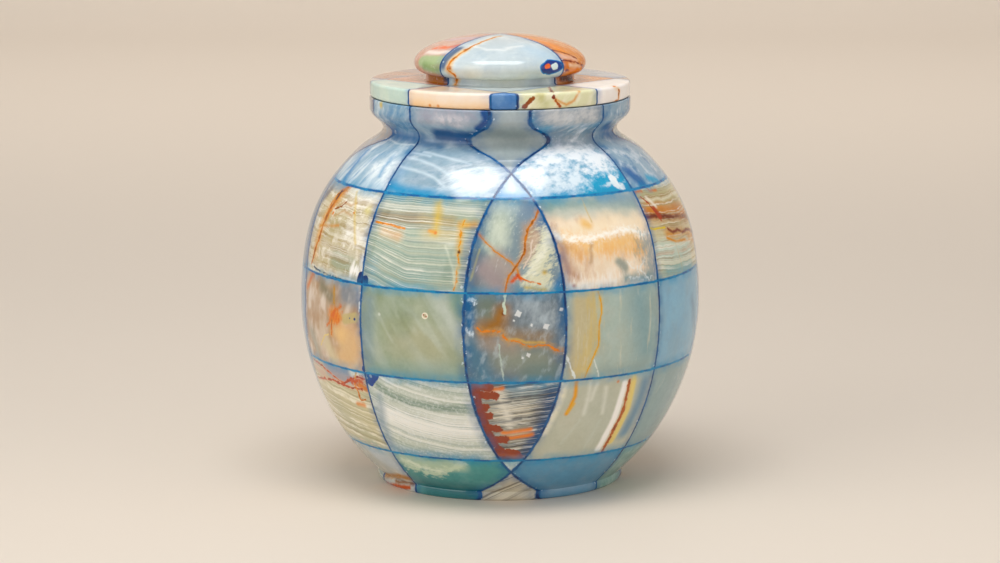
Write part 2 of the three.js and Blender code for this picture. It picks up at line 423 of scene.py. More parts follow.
def skin_normals(piece, profile):
    """For each corner of each face: if the face lies on the profile, the normal is the profile's
    slope turned by a right angle and swung round to the corner, else the face's own."""
    mesh = piece.data
    place = read(mesh.vertices, "co", 3, np.float32).astype(float) / MM
    corner = place[read(mesh.loops, "vertex_index", 1, np.int32)[:, 0]]
    count = read(mesh.polygons, "loop_total", 1, np.int32)
    flat = read(mesh.polygons, "normal", 3, np.float32)
    face = np.repeat(np.arange(len(flat)), count[:, 0])
    middle = np.zeros((len(flat), 3))
    np.add.at(middle, face, corner)
    middle /= count
    gap, normal = nearest(profile, middle)
    on_skin = (gap < ON_SKIN) & (np.einsum("ij,ij->i", swung(normal, middle), flat) > SAME_WAY)
    result = flat[face].astype(float)
    there = np.nonzero(on_skin[face])[0]
    _, normal = nearest(profile, corner[there] * (1 - NUDGE) + middle[face[there]] * NUDGE)
    result[there] = swung(normal, corner[there])
    mesh.polygons.foreach_set("use_smooth", np.ones(len(flat), bool))
    mesh.normals_split_custom_set(result.tolist())


# %% [markdown]
# Now the stones are cut. Each course is a closed ring of the turned profile, so only its upright
# joints are left to cut, and each stone keeps its own mesh, as it was its own block. The foot
# hardly reaches its left and right corner cells, so what it leaves there is dropped.

# %% Cut the vessel into stones
PROFILE = np.concatenate([[[0.0, 0.0]], OUTSIDE])
NEAR_END = 0.05
PAST = 1.0
FEWEST_FACES = 12


def part(profile, low=-np.inf, high=np.inf):
    """The part of a rising profile between two heights, with an exact end point at each."""
    z = profile[:, 1]
    inner = profile[(z > low + NEAR_END) & (z < high - NEAR_END)]
    bottom, top = ([(np.interp(h, z, profile[:, 0]), h)] if np.isfinite(h) else [] for h in (low, high))
    return np.array([*bottom, *inner, *top])


def course_ring(i):
    """Closed profile of course i: outside upwards, then inside downwards. The lowest one has the
    floor, so it begins and ends on the axis."""
    low = JOINT_HEIGHTS[i - 1] + HALF_GAP if i > 0 else -np.inf
    high = JOINT_HEIGHTS[i] - HALF_GAP if i < len(JOINT_HEIGHTS) else np.inf
    ring = [*part(OUTSIDE, low, high), *part(INSIDE, low, high)[::-1]]
    return np.array([(0, 0), *ring, (0, FLOOR_HEIGHT)] if i == 0 else ring)


def cut_stone(name, shape, block, profile):
    """Cuts a copy of a turned shape to a block, and keeps it among the stones unless the shape
    hardly reaches the block."""
    stone = placed("stone_" + name, shape.data.copy())
    combine(stone, block, "INTERSECT")
    forget(block)
    if len(stone.data.polygons) < FEWEST_FACES:
        forget(stone)
    else:
        skin_normals(stone, profile)
        stones[name] = stone


stones = {}
for i, course in enumerate(COURSES):
    ring = turned("ring", course_ring(i))
    for place, corners in cells(BODY_GRID, i in (0, len(COURSES) - 1)).items():
        block = prism("block", corners, BODY_NORMALS, -PAST, OVERALL_HEIGHT)
        cut_stone(f"{course}_{place}", ring, block, PROFILE)
    forget(ring)
print("cut", len(stones), "stones of the vessel")

# %% Cut the lid into stones
lid_shape = turned("lid_shape", np.concatenate([LID_INSIDE, LID_OUTSIDE]))
for place, corners in cells(LID_GRID, True).items():
    block = prism("block", corners, LID_NORMALS, 0, STEM_MIDDLE)
    if place.startswith("inner"):
        su, sv = (math.copysign(1, sum(c[k] for c in corners)) for k in (0, 1))
        quarter_corners = [(su * u, sv * v) for u, v in box(HALF_GAP, BEYOND, HALF_GAP, BEYOND)]
        above = prism("above", quarter_corners, LID_NORMALS, STEM_MIDDLE - PAST, OVERALL_HEIGHT + PAST)
        combine(block, above, "UNION")
        forget(above)
    cut_stone(f"lid_{place}", lid_shape, block, LID_OUTSIDE)
print("cut", len(stones), "stones in all, with", sum(len(s.data.polygons) for s in stones.values()), "faces")

# %% [markdown]
# The resin. Between the stones stands a thin web of cast resin, tinted blue. It is the same turned
# rings, cut with thin slabs that lie on the joint planes, and a flat washer at each level joint.
# It is a hair thinner than its gap, so that no two faces lie in one plane.

# %% Resin webs
CLEARANCE = 0.02
HALF_WEB = HALF_GAP - CLEARANCE
DISC_WEB_TOP = LID_TOP + 0.7


def slab_web(name, grid, normals, low, high, offsets):
    """Thin slabs on the planes at the given multiples of the grid, joined into one mesh."""
    whole = None
    for k in offsets:
        for flip in (False, True):
            corners = box(k * grid - HALF_WEB, k * grid + HALF_WEB, -BEYOND, BEYOND)
            if flip:
                corners = [(v, u) for u, v in corners]
            slab = prism(name, corners, normals, low, high)
            if whole is None:
                whole = slab
            else:
                combine(whole, slab, "UNION")
                forget(slab)
    return whole


resin = []
web = slab_web("web", BODY_GRID, BODY_NORMALS, -PAST, OVERALL_HEIGHT, (-1, 0, 1))
for i, course in enumerate(COURSES):
    piece = turned(f"resin_upright_{course}", course_ring(i))
    combine(piece, web, "INTERSECT")
    skin_normals(piece, PROFILE)
    resin.append(piece)
forget(web)
for course, z in zip(COURSES, JOINT_HEIGHTS):
    edge_out, edge_in = (part(side, z - HALF_WEB, z + HALF_WEB) for side in (OUTSIDE, INSIDE))
    piece = turned(f"resin_level_{course}", np.concatenate([edge_out, edge_in[::-1]]))
    skin_normals(piece, PROFILE)
    resin.append(piece)
disc_web = slab_web("disc_web", LID_GRID, LID_NORMALS, 0, DISC_WEB_TOP, (-1, 1))
knob_web = slab_web("knob_web", LID_GRID, LID_NORMALS, 0, OVERALL_HEIGHT + PAST, (0,))
combine(disc_web, knob_web, "UNION")
combine(lid_shape, disc_web, "INTERSECT")
lid_shape.name = "resin_lid"
skin_normals(lid_shape, LID_OUTSIDE)
resin.append(lid_shape)
forget(disc_web, knob_web)
print("made", len(resin), "resin pieces")

# %% [markdown]
# The camera stands where the photographer stood: almost two metres away with a long lens, a
# little above the lid, looking slightly down.

# %% Camera
PHOTO_SIZE = (1000, 563)
CAMERA_DISTANCE = 1900.8
CAMERA_HEIGHT = 441.8
CAMERA_TILT = 9.845
FOCAL_PIXELS = 3373.0
SENSOR = 36.0

camera = placed("camera", bpy.data.cameras.new("camera"))
camera.location = (0, -CAMERA_DISTANCE * MM, CAMERA_HEIGHT * MM)
camera.rotation_euler = (math.radians(90 - CAMERA_TILT), 0, 0)
camera.data.sensor_width = SENSOR
camera.data.lens = SENSOR * FOCAL_PIXELS / PHOTO_SIZE[0]
bpy.context.scene.camera = camera
print("lens", round(camera.data.lens, 1), "mm")

# %% [markdown]
# Marks in the stone, such as a vein or a cloud, are placed where the photograph shows them. A
# point of the photograph is found on the urn by drawing the turned skin as a cloud of points
# through the camera, and taking the nearest one to the eye among those that land there.

# %% From a point of the photograph to a point on the skin
FRONT_HALF = (-185, 5.1)
CLOUD_TURN = 0.4
CLOUD_STEP = 0.5
LANDING_PIXELS = 1.2
LANDING_MORE = 0.3
SKIN_DEPTH = 6


def skin_cloud():
    """Points on the front of the turned skin in millimetres, their pixels, and their depth."""
    t = np.radians(np.arange(*FRONT_HALF, CLOUD_TURN))
    dense = []
    for profile in (OUTSIDE, LID_OUTSIDE):
        walked = np.concatenate([[0], np.cumsum(np.linalg.norm(np.diff(profile, axis=0), axis=1))])
        s = np.arange(0, walked[-1], CLOUD_STEP)
        dense.append(np.stack([np.interp(s, walked, side) for side in profile.T], 1))
    r, z = np.concatenate(dense).T
    xyz = np.stack([np.outer(r, np.cos(t)), np.outer(r, np.sin(t)), np.outer(z, np.ones(len(t)))], -1)
    xyz = xyz.reshape(-1, 3)
    tilt = math.radians(CAMERA_TILT)
    y, z = xyz[:, 1] + CAMERA_DISTANCE, xyz[:, 2] - CAMERA_HEIGHT
    depth = y * math.cos(tilt) - z * math.sin(tilt)
    rise = y * math.sin(tilt) + z * math.cos(tilt)
    px = PHOTO_SIZE[0] / 2 + FOCAL_PIXELS * xyz[:, 0] / depth
    py = PHOTO_SIZE[1] / 2 - FOCAL_PIXELS * rise / depth
    return xyz, np.stack([px, py], 1), depth


CLOUD, CLOUD_PIXELS, CLOUD_DEPTH = skin_cloud()


def seen_at(x, y):
    """Point of the skin, in millimetres, that the photograph shows at a pixel."""
    d = np.hypot(CLOUD_PIXELS[:, 0] - x, CLOUD_PIXELS[:, 1] - y)
    near = np.nonzero(d < max(LANDING_PIXELS, d.min() + LANDING_MORE))[0]
    front = near[CLOUD_DEPTH[near] < CLOUD_DEPTH[near].min() + SKIN_DEPTH]
    return CLOUD[front[np.argmin(d[front])]]


print("the middle of the front shows at", [round(float(c), 1) for c in seen_at(500, 300)], "mm")

# %% [markdown]
# Onyx is banded calcite. It was laid down in thin layers, so its colours lie in bands, and it
# glows a little because light goes into it. The polish is like glass: a clear reflection over
# soft depth. One material is built for each stone, because each was sawn from another block.
#
# A stone's colour is put together as the rock was: the ground colours from its foot to its top,
# the fine bands, milky fog, fibres of crystal, then single marks such as veins and stains, and
# last the blue that the resin lends to its edges.

# %% One small function adds a node
def add(tree, kind, inputs=None, out=0, **settings):
    """Adds a node of a kind, makes its settings, and sets or links its inputs. It gives back one
    of its outputs, or the node itself if out is None."""
    made = tree.nodes.new("ShaderNode" + kind)
    for key, value in settings.items():
        setattr(made, key, value)
    for key, value in (inputs or {}).items():
        if isinstance(value, bpy.types.NodeSocket):
            tree.links.new(value, made.inputs[key])
        else:
            made.inputs[key].default_value = value
    return made if out is None else made.outputs[out]


def new_material(name):
    """A material that has no nodes yet, and its node tree."""
    material = bpy.data.materials.new(name)
    material.use_nodes = True
    material.node_tree.nodes.clear()
    return material, material.node_tree


def plain(values):
    """A plain tuple of floats, as a socket takes it."""
    return tuple(float(v) for v in values)


def direction(along):
    """The same direction with a length of one."""
    return plain(np.array(along) / np.linalg.norm(along))


# %% [markdown]
# Two small groups are used by every stone: the distance of a point from a straight piece of a
# path, and its distance from the nearest joint. The lid has no level joint, and the knob none
# but the two upright ones on the axis, so their other joints are put FAR_OFF.

# %% Node groups
def new_group(name, inputs, outputs):
    """An empty node group with named sockets."""
    tree = bpy.data.node_groups.new(name, "ShaderNodeTree")
    for label, kind in inputs:
        tree.interface.new_socket(label, in_out="INPUT", socket_type="NodeSocket" + kind)
    for label, kind in outputs:
        tree.interface.new_socket(label, in_out="OUTPUT", socket_type="NodeSocket" + kind)
    return tree, tree.nodes.new("NodeGroupInput").outputs, tree.nodes.new("NodeGroupOutput").inputs


def path_group():
    """Distance from a point to the piece from a start to an end: h is how far along the foot of
    the perpendicular falls, kept between 0 and 1, and the distance is to that place."""
    tree, given, asked = new_group("distance to a straight piece",
                                   [("Point", "Vector"), ("Start", "Vector"), ("End", "Vector")],
                                   [("Distance", "Float")])
    pa = add(tree, "VectorMath", {0: given[0], 1: given[1]}, operation="SUBTRACT")
    ba = add(tree, "VectorMath", {0: given[2], 1: given[1]}, operation="SUBTRACT")
    along = add(tree, "VectorMath", {0: pa, 1: ba}, out=1, operation="DOT_PRODUCT")
    whole = add(tree, "VectorMath", {0: ba, 1: ba}, out=1, operation="DOT_PRODUCT")
    h = add(tree, "Math", {0: along, 1: whole}, operation="DIVIDE", use_clamp=True)
    foot = add(tree, "VectorMath", {0: ba, "Scale": h}, operation="SCALE")
    rest = add(tree, "VectorMath", {0: pa, 1: foot}, operation="SUBTRACT")
    tree.links.new(add(tree, "VectorMath", {0: rest}, out=1, operation="LENGTH"), asked[0])
    return tree


def joint_group(name, grid, normals, heights):
    """Distance to the nearest upright joint and to the nearest level one. A plane's distance is a
    dot product, and ping-pong folds it to the nearest multiple of the grid."""
    tree, given, asked = new_group(name, [("Point", "Vector")], [("Upright", "Float"), ("Level", "Float")])
    folded = []
    for degrees in normals:
        normal = (math.cos(math.radians(degrees)), math.sin(math.radians(degrees)), 0)
        d = add(tree, "VectorMath", {0: given[0], 1: normal}, out=1, operation="DOT_PRODUCT")
        folded.append(add(tree, "Math", {0: d, 1: grid / 2}, operation="PINGPONG"))
    upright = add(tree, "Math", {0: folded[0], 1: folded[1]}, operation="MINIMUM")
    z = add(tree, "SeparateXYZ", {0: given[0]}, out=2)
    level = None
    for height in heights:
        d = add(tree, "Math", {0: z, 1: height}, operation="SUBTRACT")
        d = add(tree, "Math", {0: d}, operation="ABSOLUTE")
        level = d if level is None else add(tree, "Math", {0: level, 1: d}, operation="MINIMUM")
    tree.links.new(upright, asked[0])
    tree.links.new(level, asked[1])
    return tree


FAR_OFF = 400.0
PATH_DISTANCE = path_group()
BODY_JOINTS = joint_group("distance to the vessel's joints", BODY_GRID, BODY_NORMALS, JOINT_HEIGHTS)
LID_JOINTS = joint_group("distance to the lid's joints", LID_GRID, LID_NORMALS, [FAR_OFF])
KNOB_JOINTS = joint_group("distance to the knob's joints", FAR_OFF, LID_NORMALS, [FAR_OFF])
print("made", len(bpy.data.node_groups), "node groups")

# %% [markdown]
# The class below is one stone's material while it is being made. It keeps the colour so far, and
# each method lays one more thing over it, the way a scene painter would: first fog and bands from
# noise, then stains and veins along paths that are read off the photograph. Each stone is cut
# from another place of the same endless noise, ROCK_STEPS further on, so no two are alike.

# %% The material of one stone
ROCK_STEPS = (31.7, 17.3, 47.9)
SPOT_LENGTH = 0.01
ONYX_IOR = 1.52


class Rock:
    """One stone's shader. Sizes are in millimetres, and paths are points of the photograph."""

    def __init__(self, name, ground, seed):
        self.material, self.tree = new_material(name)
        self.colour = linear(ground)
        where = self.add("TexCoord", out=3)
        self.point = self.add("VectorMath", {0: where, "Scale": 1 / MM}, operation="SCALE")
        away = tuple(seed * step for step in ROCK_STEPS)
        self.rock = self.add("VectorMath", {0: self.point, 1: away}, operation="ADD")
        self.pushed = {}

    def add(self, kind, inputs=None, out=0, **settings):
        """A node in this stone's tree."""
        return add(self.tree, kind, inputs, out, **settings)

    def noise(self, size, along=None, longer=1.0, detail=4.0, rough=0.55, out=0):
        """Noise with features of a size. With a direction, they are longer that way: the point
        loses the share 1 - 1 / longer of its component along it."""
        point = self.rock
        if along is not None:
            unit = direction(along)
            share = self.add("VectorMath", {0: point, 1: unit}, out=1, operation="DOT_PRODUCT")
            share = self.times(share, 1 - 1 / longer)
            share = self.add("VectorMath", {0: unit, "Scale": share}, operation="SCALE")
            point = self.add("VectorMath", {0: point, 1: share}, operation="SUBTRACT")
        inputs = {"Vector": point, "Scale": 1 / size, "Detail": detail, "Roughness": rough}
        return self.add("TexNoise", inputs, out=out)

    def push(self, size, amount):
        """The point, moved about by noise by up to about half the amount."""
        if not amount:
            return self.point
        if (size, amount) not in self.pushed:
            off = self.add("VectorMath", {0: self.noise(size, out=1), 1: (0.5,) * 3}, operation="SUBTRACT")
            off = self.add("VectorMath", {0: off, "Scale": amount}, operation="SCALE")
            self.pushed[size, amount] = self.add("VectorMath", {0: self.point, 1: off}, operation="ADD")
        return self.pushed[size, amount]

    def ease(self, value, start, end, low=0.0, high=1.0):
        """Smooth step from low at the start to high at the end."""
        inputs = {0: value, 1: start, 2: end, 3: low, 4: high}
        return self.add("MapRange", inputs, interpolation_type="SMOOTHSTEP")

    def times(self, a, b):
        """Product of two values, such as masks."""
        return self.add("Math", {0: a, 1: b}, operation="MULTIPLY")

    def lay(self, mask, colour, how="MIX"):
        """Lays a colour over what is there, where the mask is 1."""
        if isinstance(colour, str):
            colour = linear(colour)
        inputs = {0: mask, 6: self.colour, 7: colour}
        self.colour = self.add("Mix", inputs, out=2, data_type="RGBA", blend_type=how)

    def near(self, path, point):
        """Distance to a path through points of the photograph, as the least of its pieces'. A
        single point is a path too short to see."""
        spots = [plain(seen_at(*p)) for p in path]
        if len(spots) == 1:
            x, y, z = spots[0]
            spots.append((x + SPOT_LENGTH, y, z))
        least = None
        for start, end in zip(spots[:-1], spots[1:]):
            piece = self.add("Group", {}, out=None)
            piece.node_tree = PATH_DISTANCE
            self.tree.links.new(point, piece.inputs[0])
            piece.inputs[1].default_value = start
            piece.inputs[2].default_value = end
            d = piece.outputs[0]
            least = d if least is None else self.add("Math", {0: least, 1: d}, operation="MINIMUM")
        return least

    def fog(self, colour, size, low=0.45, high=0.7, strength=1.0, along=None, longer=1.0, detail=5.0):
        """Clouds, or streaks along a direction, where the noise rises from low to high."""
        self.lay(self.ease(self.noise(size, along, longer, detail, 0.6), low, high, 0, strength), colour)

    def stain(self, path, colour, reach, soft=None, strength=1.0, rough=5.0, grain=9.0, broken=0.0):
        """A soft patch of colour around a path. Broken lets the ground through in specks."""
        soft = reach * 0.6 if soft is None else soft
        mask = self.ease(self.near(path, self.push(grain, rough)), reach + soft, reach - soft, 0, strength)
        if broken:
            mask = self.times(mask, self.ease(self.noise(3.0, detail=6), 0.4, 0.6, 1 - broken, 1))
        self.lay(mask, colour)

    def feather(self, path, colour, reach, along, soft=3.0, strength=1.0, size=1.8, longer=7.0):
        """A patch that breaks up into fibres along a direction, as crystals do, with wisps at its
        edges: the fibres add to the distance from the path before it is eased."""
        fibres = self.ease(self.noise(size, along, longer, 7.0, 0.65), 0.2, 0.8, -1.4 * reach, 1.4 * reach)
        far = self.add("Math", {0: self.near(path, self.push(7.0, 5.0)), 1: fibres}, operation="ADD")
        self.lay(self.ease(far, reach + 1.6 * soft, reach - 1.6 * soft, 0, strength), colour)

    def hairs(self, along, strength=0.35, colour="#F4F6F4", size=1.3, longer=12.0):
        """Fine pale hairs along a direction: the cleavage of the crystals."""
        self.fog(colour, size, 0.6, 0.7, strength, along, longer, 4.0)

    def vein(self, path, colour, width, halo=None, halo_reach=4.0, strength=1.0, rough=2.2, grain=3.5):
        """A fine crack filled with colour, with a paler halo if there is one. Noise makes it
        thicker and thinner on its way, and a dark one is darker in its middle here and there."""
        distance = self.near(path, self.push(grain, rough))
        if halo:
            ragged = self.ease(self.noise(2.5, detail=6), 0.35, 0.6, 0.25, 0.75)
            self.lay(self.times(self.ease(distance, halo_reach, 0), ragged), halo)
        swell = self.ease(self.noise(3.0, detail=6), 0.32, 0.68, width * 0.2, width * 0.7)
        inner = self.add("Math", {0: distance, 1: swell}, operation="SUBTRACT")
        self.lay(self.ease(inner, 0.45, -0.15, 0, strength), colour)
        red, green, blue, alpha = linear(colour)
        if width >= 0.8 and green < 0.4:
            middle = self.ease(inner, -0.05, -0.3 * width, 0, 0.8 * strength)
            dark = (red * 0.4, green * 0.35, blue * 0.35, alpha)
            self.lay(self.times(middle, self.ease(self.noise(5.0), 0.45, 0.6)), dark)

    def patch(self, path, colour, reach, strength=1.0, rough=3.0, grain=3.0, soft=0.25):
        """A patch with a hard, ragged edge."""
        self.stain(path, colour, reach, soft, strength, rough, grain)

    def chip(self, place, colour, reach, tilt=0.4):
        """A small four-cornered flake: the distances along two slanting directions add up."""
        away = {0: self.push(2.0, 1.5), 1: plain(seen_at(*place))}
        off = self.add("VectorMath", away, operation="SUBTRACT")
        total = None
        for unit in ((math.cos(tilt), 0.0, math.sin(tilt)), (-math.sin(tilt), 0.0, math.cos(tilt))):
            d = self.add("VectorMath", {0: off, 1: unit}, out=1, operation="DOT_PRODUCT")
            d = self.add("Math", {0: d}, operation="ABSOLUTE")
            total = d if total is None else self.add("Math", {0: total, 1: d}, operation="ADD")
        self.lay(self.ease(total, reach + 0.3, reach - 0.5, 0, 0.9), colour)

    def stack(self, along=(0, 0, 1), wave=3.0, wave_size=18.0, centre=None):
        """Height in the stack of layers: along a direction, or out from a centre, where the
        layers bend round it."""
        point = self.push(wave_size, wave)
        if centre is not None:
            off = self.add("VectorMath", {0: point, 1: plain(centre)}, operation="SUBTRACT")
            return self.add("VectorMath", {0: off}, out=1, operation="LENGTH")
        return self.add("VectorMath", {0: point, 1: direction(along)}, out=1, operation="DOT_PRODUCT")

    def folded(self, along, wave, wave_size, turn, slope, above):
        """Height in a stack whose layers run level on one side of a turning place, and climb away
        from it to the left. Layers well above that place stay level."""
        height = self.stack(along, wave, wave_size)
        turn_x, _, turn_z = plain(turn)
        x, z = (self.add("SeparateXYZ", {0: self.point}, out=k) for k in (0, 2))
        climb = self.add("Math", {0: turn_x, 1: x}, operation="SUBTRACT")
        climb = self.add("Math", {0: climb, 1: 0.0, 2: 3.0}, operation="SMOOTH_MAX")
        climb = self.times(climb, self.ease(z, turn_z + above, turn_z, 0, slope))
        return self.add("Math", {0: height, 1: climb}, operation="SUBTRACT")

    def layer(self, height, size, detail, seed):
        """Noise that changes only with the height in the stack."""
        w = self.add("Math", {0: height, 1: 1 / size, 2: seed}, operation="MULTIPLY_ADD")
        inputs = {"W": w, "Scale": 1.0, "Detail": detail, "Roughness": 0.5}
        return self.add("TexNoise", inputs, noise_dimensions="1D")

    def off_middle(self, noise):
        """How far a noise is from its middle value, which is zero along thin lines."""
        off = self.add("Math", {0: noise, 1: 0.5}, operation="SUBTRACT")
        return self.add("Math", {0: off}, operation="ABSOLUTE")

    def layers(self, height, size, colour, low=0.5, high=0.6, strength=1.0, seed=0.0):
        """Layers of a colour."""
        self.lay(self.ease(self.layer(height, size, 2.0, seed), low, high, 0, strength), colour)

    def lines(self, height, size, colour, width=0.06, strength=1.0, seed=0.0, fade=6.0):
        """Thin lines between layers. They come and go along their length."""
        off = self.off_middle(self.layer(height, size, 1.0, seed))
        there = self.ease(self.noise(fade, (1, 0, 0), 4.0, 6.0), 0.38, 0.58, 0.15, 1)
        self.lay(self.times(self.ease(off, width, width * 0.2, 0, strength), there), colour)

    def cracks(self, colour, size, width, strength=1.0):
        """A net of thin lines, from large noise."""
        self.lay(self.ease(self.off_middle(self.noise(size, detail=3)), width, 0, 0, strength), colour)

    def edges(self, joints, upright=("#065C94", 1.2, 0.9), level=("#1690BC", 1.1, 0.9), spread=6.0):
        """The blue of the resin soaks into the stone's edges: strongly in a narrow strip and
        faintly further in, more in some places than others. White flakes stand on the upright
        edges, where the saw bruised the crystal."""
        group = self.add("Group", {}, out=None)
        group.node_tree = joints
        self.tree.links.new(self.push(2.4, 1.0), group.inputs[0])
        patchy = self.ease(self.noise(9.0), 0.38, 0.62, 0.3, 1.0)
        for output, (colour, reach, strength) in zip(group.outputs, (upright, level)):
            far = self.ease(output, spread, HALF_GAP, 0, 0.5 * strength)
            self.lay(self.times(far, patchy), colour)
            close = self.ease(output, reach, HALF_GAP, 0, strength)
            self.lay(self.times(close, patchy), colour)
        flakes = self.ease(self.noise(2.2, detail=3), 0.64, 0.68, 0, 0.7)
        self.lay(self.times(flakes, self.ease(group.outputs[0], 2.2, 1.2)), "#DCEAF2")

    def grain(self, size, strength):
        """Light and dark grain of the crystals, laid on so that the mean colour stays."""
        grey = self.ease(self.noise(size, detail=8.0, rough=0.7), 0.36, 0.64, 0.12, 0.88)
        self.lay(strength, grey, "OVERLAY")

    def finish(self, polish=0.06, glow=0.06):
        """Closes the shader as polished stone: fine grain, a sharp clear reflection, for calcite
        bends light about as glass does, and a little light that goes into the stone and comes out
        again. The polish brings the colours out, so they are made a little deeper."""
        self.grain(9.0, 0.05)
        self.grain(1.8, 0.03)
        deep = self.add("HueSaturation", {"Saturation": 1.12, "Color": self.colour})
        deep = self.add("Gamma", {0: deep, 1: 1.14})
        deep = self.add("BrightContrast", {"Color": deep, "Bright": 0.035, "Contrast": 0.06})
        shader = self.add("BsdfPrincipled", {
            "Base Color": deep, "Roughness": polish, "IOR": ONYX_IOR, "Subsurface Weight": glow,
            "Subsurface Radius": (1.0, 0.8, 0.6), "Subsurface Scale": 3 * MM})
        self.add("OutputMaterial", {0: shader}, out=None)
        return self.material


# %% [markdown]
# Each stone that shows in the photograph has its own function, named as the stone is, for its
# course and the way it faces. Above it stands the colour of its ground, and in it what lies on
# that ground.
#
# The shoulder and the neck are blue-grey with white clouds of tiny crystals. The clouds are
# patches that break up into fibres, because their edges are feathery, and the arcs and lines in
# them are thin stains along paths. On the front, where the overhead softbox reflects, part of
# its highlight is painted into the white clouds.

# %% A look for each stone that shows
SHOWN = {}


def on_ground(colour):
    """Notes the function below it as the look of the stone of that name, on a ground colour."""
    def note(look):
        SHOWN[look.__name__] = (look, colour)
        return look
    return note


# %% Stones of the shoulder and the neck, left side
@on_ground("#A2BCCC")
def shoulder_side_front_left_far(rock):
    """Pale blue onyx with streaks that fan out down the shoulder."""
    neck_deep = [(388, 122), (412, 126)]
    neck_shade = [(392, 134), (414, 138)]
    neck_line = [(384, 139), (400, 144), (414, 145)]
    blue_streak = [(368, 150), (354, 166), (344, 182)]
    blue_streak_low = [(392, 158), (380, 176)]
    white_cloud = [(376, 168), (394, 166), (384, 184)]
    rim_blue = [(373, 102), (375, 116)]
    rim_spot = [(381, 105)]
    rock.fog("#E4EDF0", 9, 0.42, 0.68, 0.85, along=(0.6, 0, 0.8), longer=5)
    rock.fog("#6E9CC0", 6, 0.5, 0.7, 0.75, along=(0.6, 0, 0.8), longer=7)
    rock.stain(neck_deep, "#5E8AAC", 6, 4, 0.85, broken=0.3)
    rock.stain(neck_shade, "#3E74A4", 3, 3, 0.85)
    rock.stain(white_cloud, "#EEF4F5", 5, 5, 0.9, broken=0.5)
    rock.stain(blue_streak, "#4E8CBC", 2.2, 2.5, 0.85, rough=7)
    rock.stain(blue_streak_low, "#6FA0C4", 1.4, 2.0, 0.7, rough=6)
    rock.stain(neck_line, "#E9F1F2", 0.5, 0.9, 0.85, rough=3)
    rock.stain(rim_blue, "#1F5496", 1.8, 1.4, 0.95, rough=1.0)
    rock.stain(rim_spot, "#D8C070", 1.8, 1.5, 0.9, rough=1.0)


@on_ground("#9DB3C0")
def shoulder_side_front_left_near(rock):
    """Grey-blue onyx with white arcs, a white cloud that holds a painted highlight, and deep sky blue at its
    foot.
    """
    rim_cloud = [(424, 114), (452, 116), (468, 116)]
    rim_white = [(440, 118), (462, 122)]
    neck_deep = [(440, 134), (472, 138)]
    neck_deep_left = [(422, 140), (440, 147)]
    rim_corner = [(484, 112), (486, 122), (478, 128)]
    foot_sky = [(388, 186), (410, 192), (440, 197)]
    sky_left = [(400, 172), (392, 182)]
    cloud = [(462, 176), (486, 178), (500, 186)]
    low_cloud_and_highlight = [(452, 190), (480, 192)]
    arcs = [[(404, 157), (422, 161), (438, 168), (448, 175)],
            [(398, 166), (416, 170), (434, 178), (444, 186)],
            [(424, 152), (448, 158), (470, 164)], [(410, 152), (430, 156)]]
    rock.fog("#C4D0D8", 11, 0.42, 0.66, 0.75, along=(1, 0, -0.3), longer=4)
    rock.fog("#7395AE", 8, 0.5, 0.7, 0.6, along=(1, 0, -0.3), longer=4)
    rock.stain(rim_cloud, "#A9ABB8", 6, 4, 0.9, broken=0.3)
    rock.stain(rim_white, "#DCD9DC", 3, 3, 0.8, rough=8, broken=0.6)
    rock.stain(neck_deep, "#28598C", 4.5, 2.5, 0.9)
    rock.stain(neck_deep_left, "#4676A0", 3, 3, 0.75)
    rock.stain(rim_corner, "#10488A", 2.0, 1.4, 0.95, rough=3)
    rock.stain(sky_left, "#86AFCB", 5, 6, 0.6)
    rock.stain(foot_sky, "#34A0CC", 2.4, 4, 0.88)
    # the white cloud is partly white crystal and partly a painted highlight of the overhead softbox
    rock.feather(cloud, "#F2F6F9", 5, (1, 0, 0.3), 6, 0.9, size=4, longer=3)
    rock.feather(low_cloud_and_highlight, "#E6F0F6", 3, (1, 0, 0.3), 5, 0.75, size=4, longer=3)
    for arc in arcs:
        rock.stain(arc, "#DCE8EE", 0.7, 1.3, 0.75, rough=1.5)


# %% Stones of the shoulder and the neck, middle and right side
@on_ground("#B0BABB")
def shoulder_inner_front(rock):
    """Neutral grey onyx in the middle of the neck, paler at the rim and darker below."""
    light = [(494, 114), (528, 114)]
    shade = [(492, 132), (520, 136)]
    foot = [(500, 158), (524, 158)]
    line = [(496, 161), (526, 161)]
    rock.fog("#A9B4B6", 10, 0.42, 0.68, 0.6)
    rock.stain(light, "#B2BCC0", 6, 5, 0.8)
    rock.stain(shade, "#93A0A2", 6, 6, 0.8)
    rock.stain(foot, "#97A1A4", 3, 3, 0.7)
    rock.stain(line, "#DDE4E8", 0.4, 0.6, 0.8, rough=0.6)


@on_ground("#C5DCEB")
def shoulder_corner_front(rock):
    """Icy blue tip, whiter at its top, partly white crystal and partly a painted highlight."""
    white = [(512, 178), (512, 188)]
    blue_foot = [(498, 197), (526, 197)]
    rock.fog("#C4DAEA", 6, 0.42, 0.7, 0.7)
    # whiter top: partly white crystal, partly a painted highlight of the overhead softbox
    rock.stain(white, "#EEF5FA", 4, 4, 0.85)
    rock.stain(blue_foot, "#5FA3D2", 1.6, 3, 0.85)


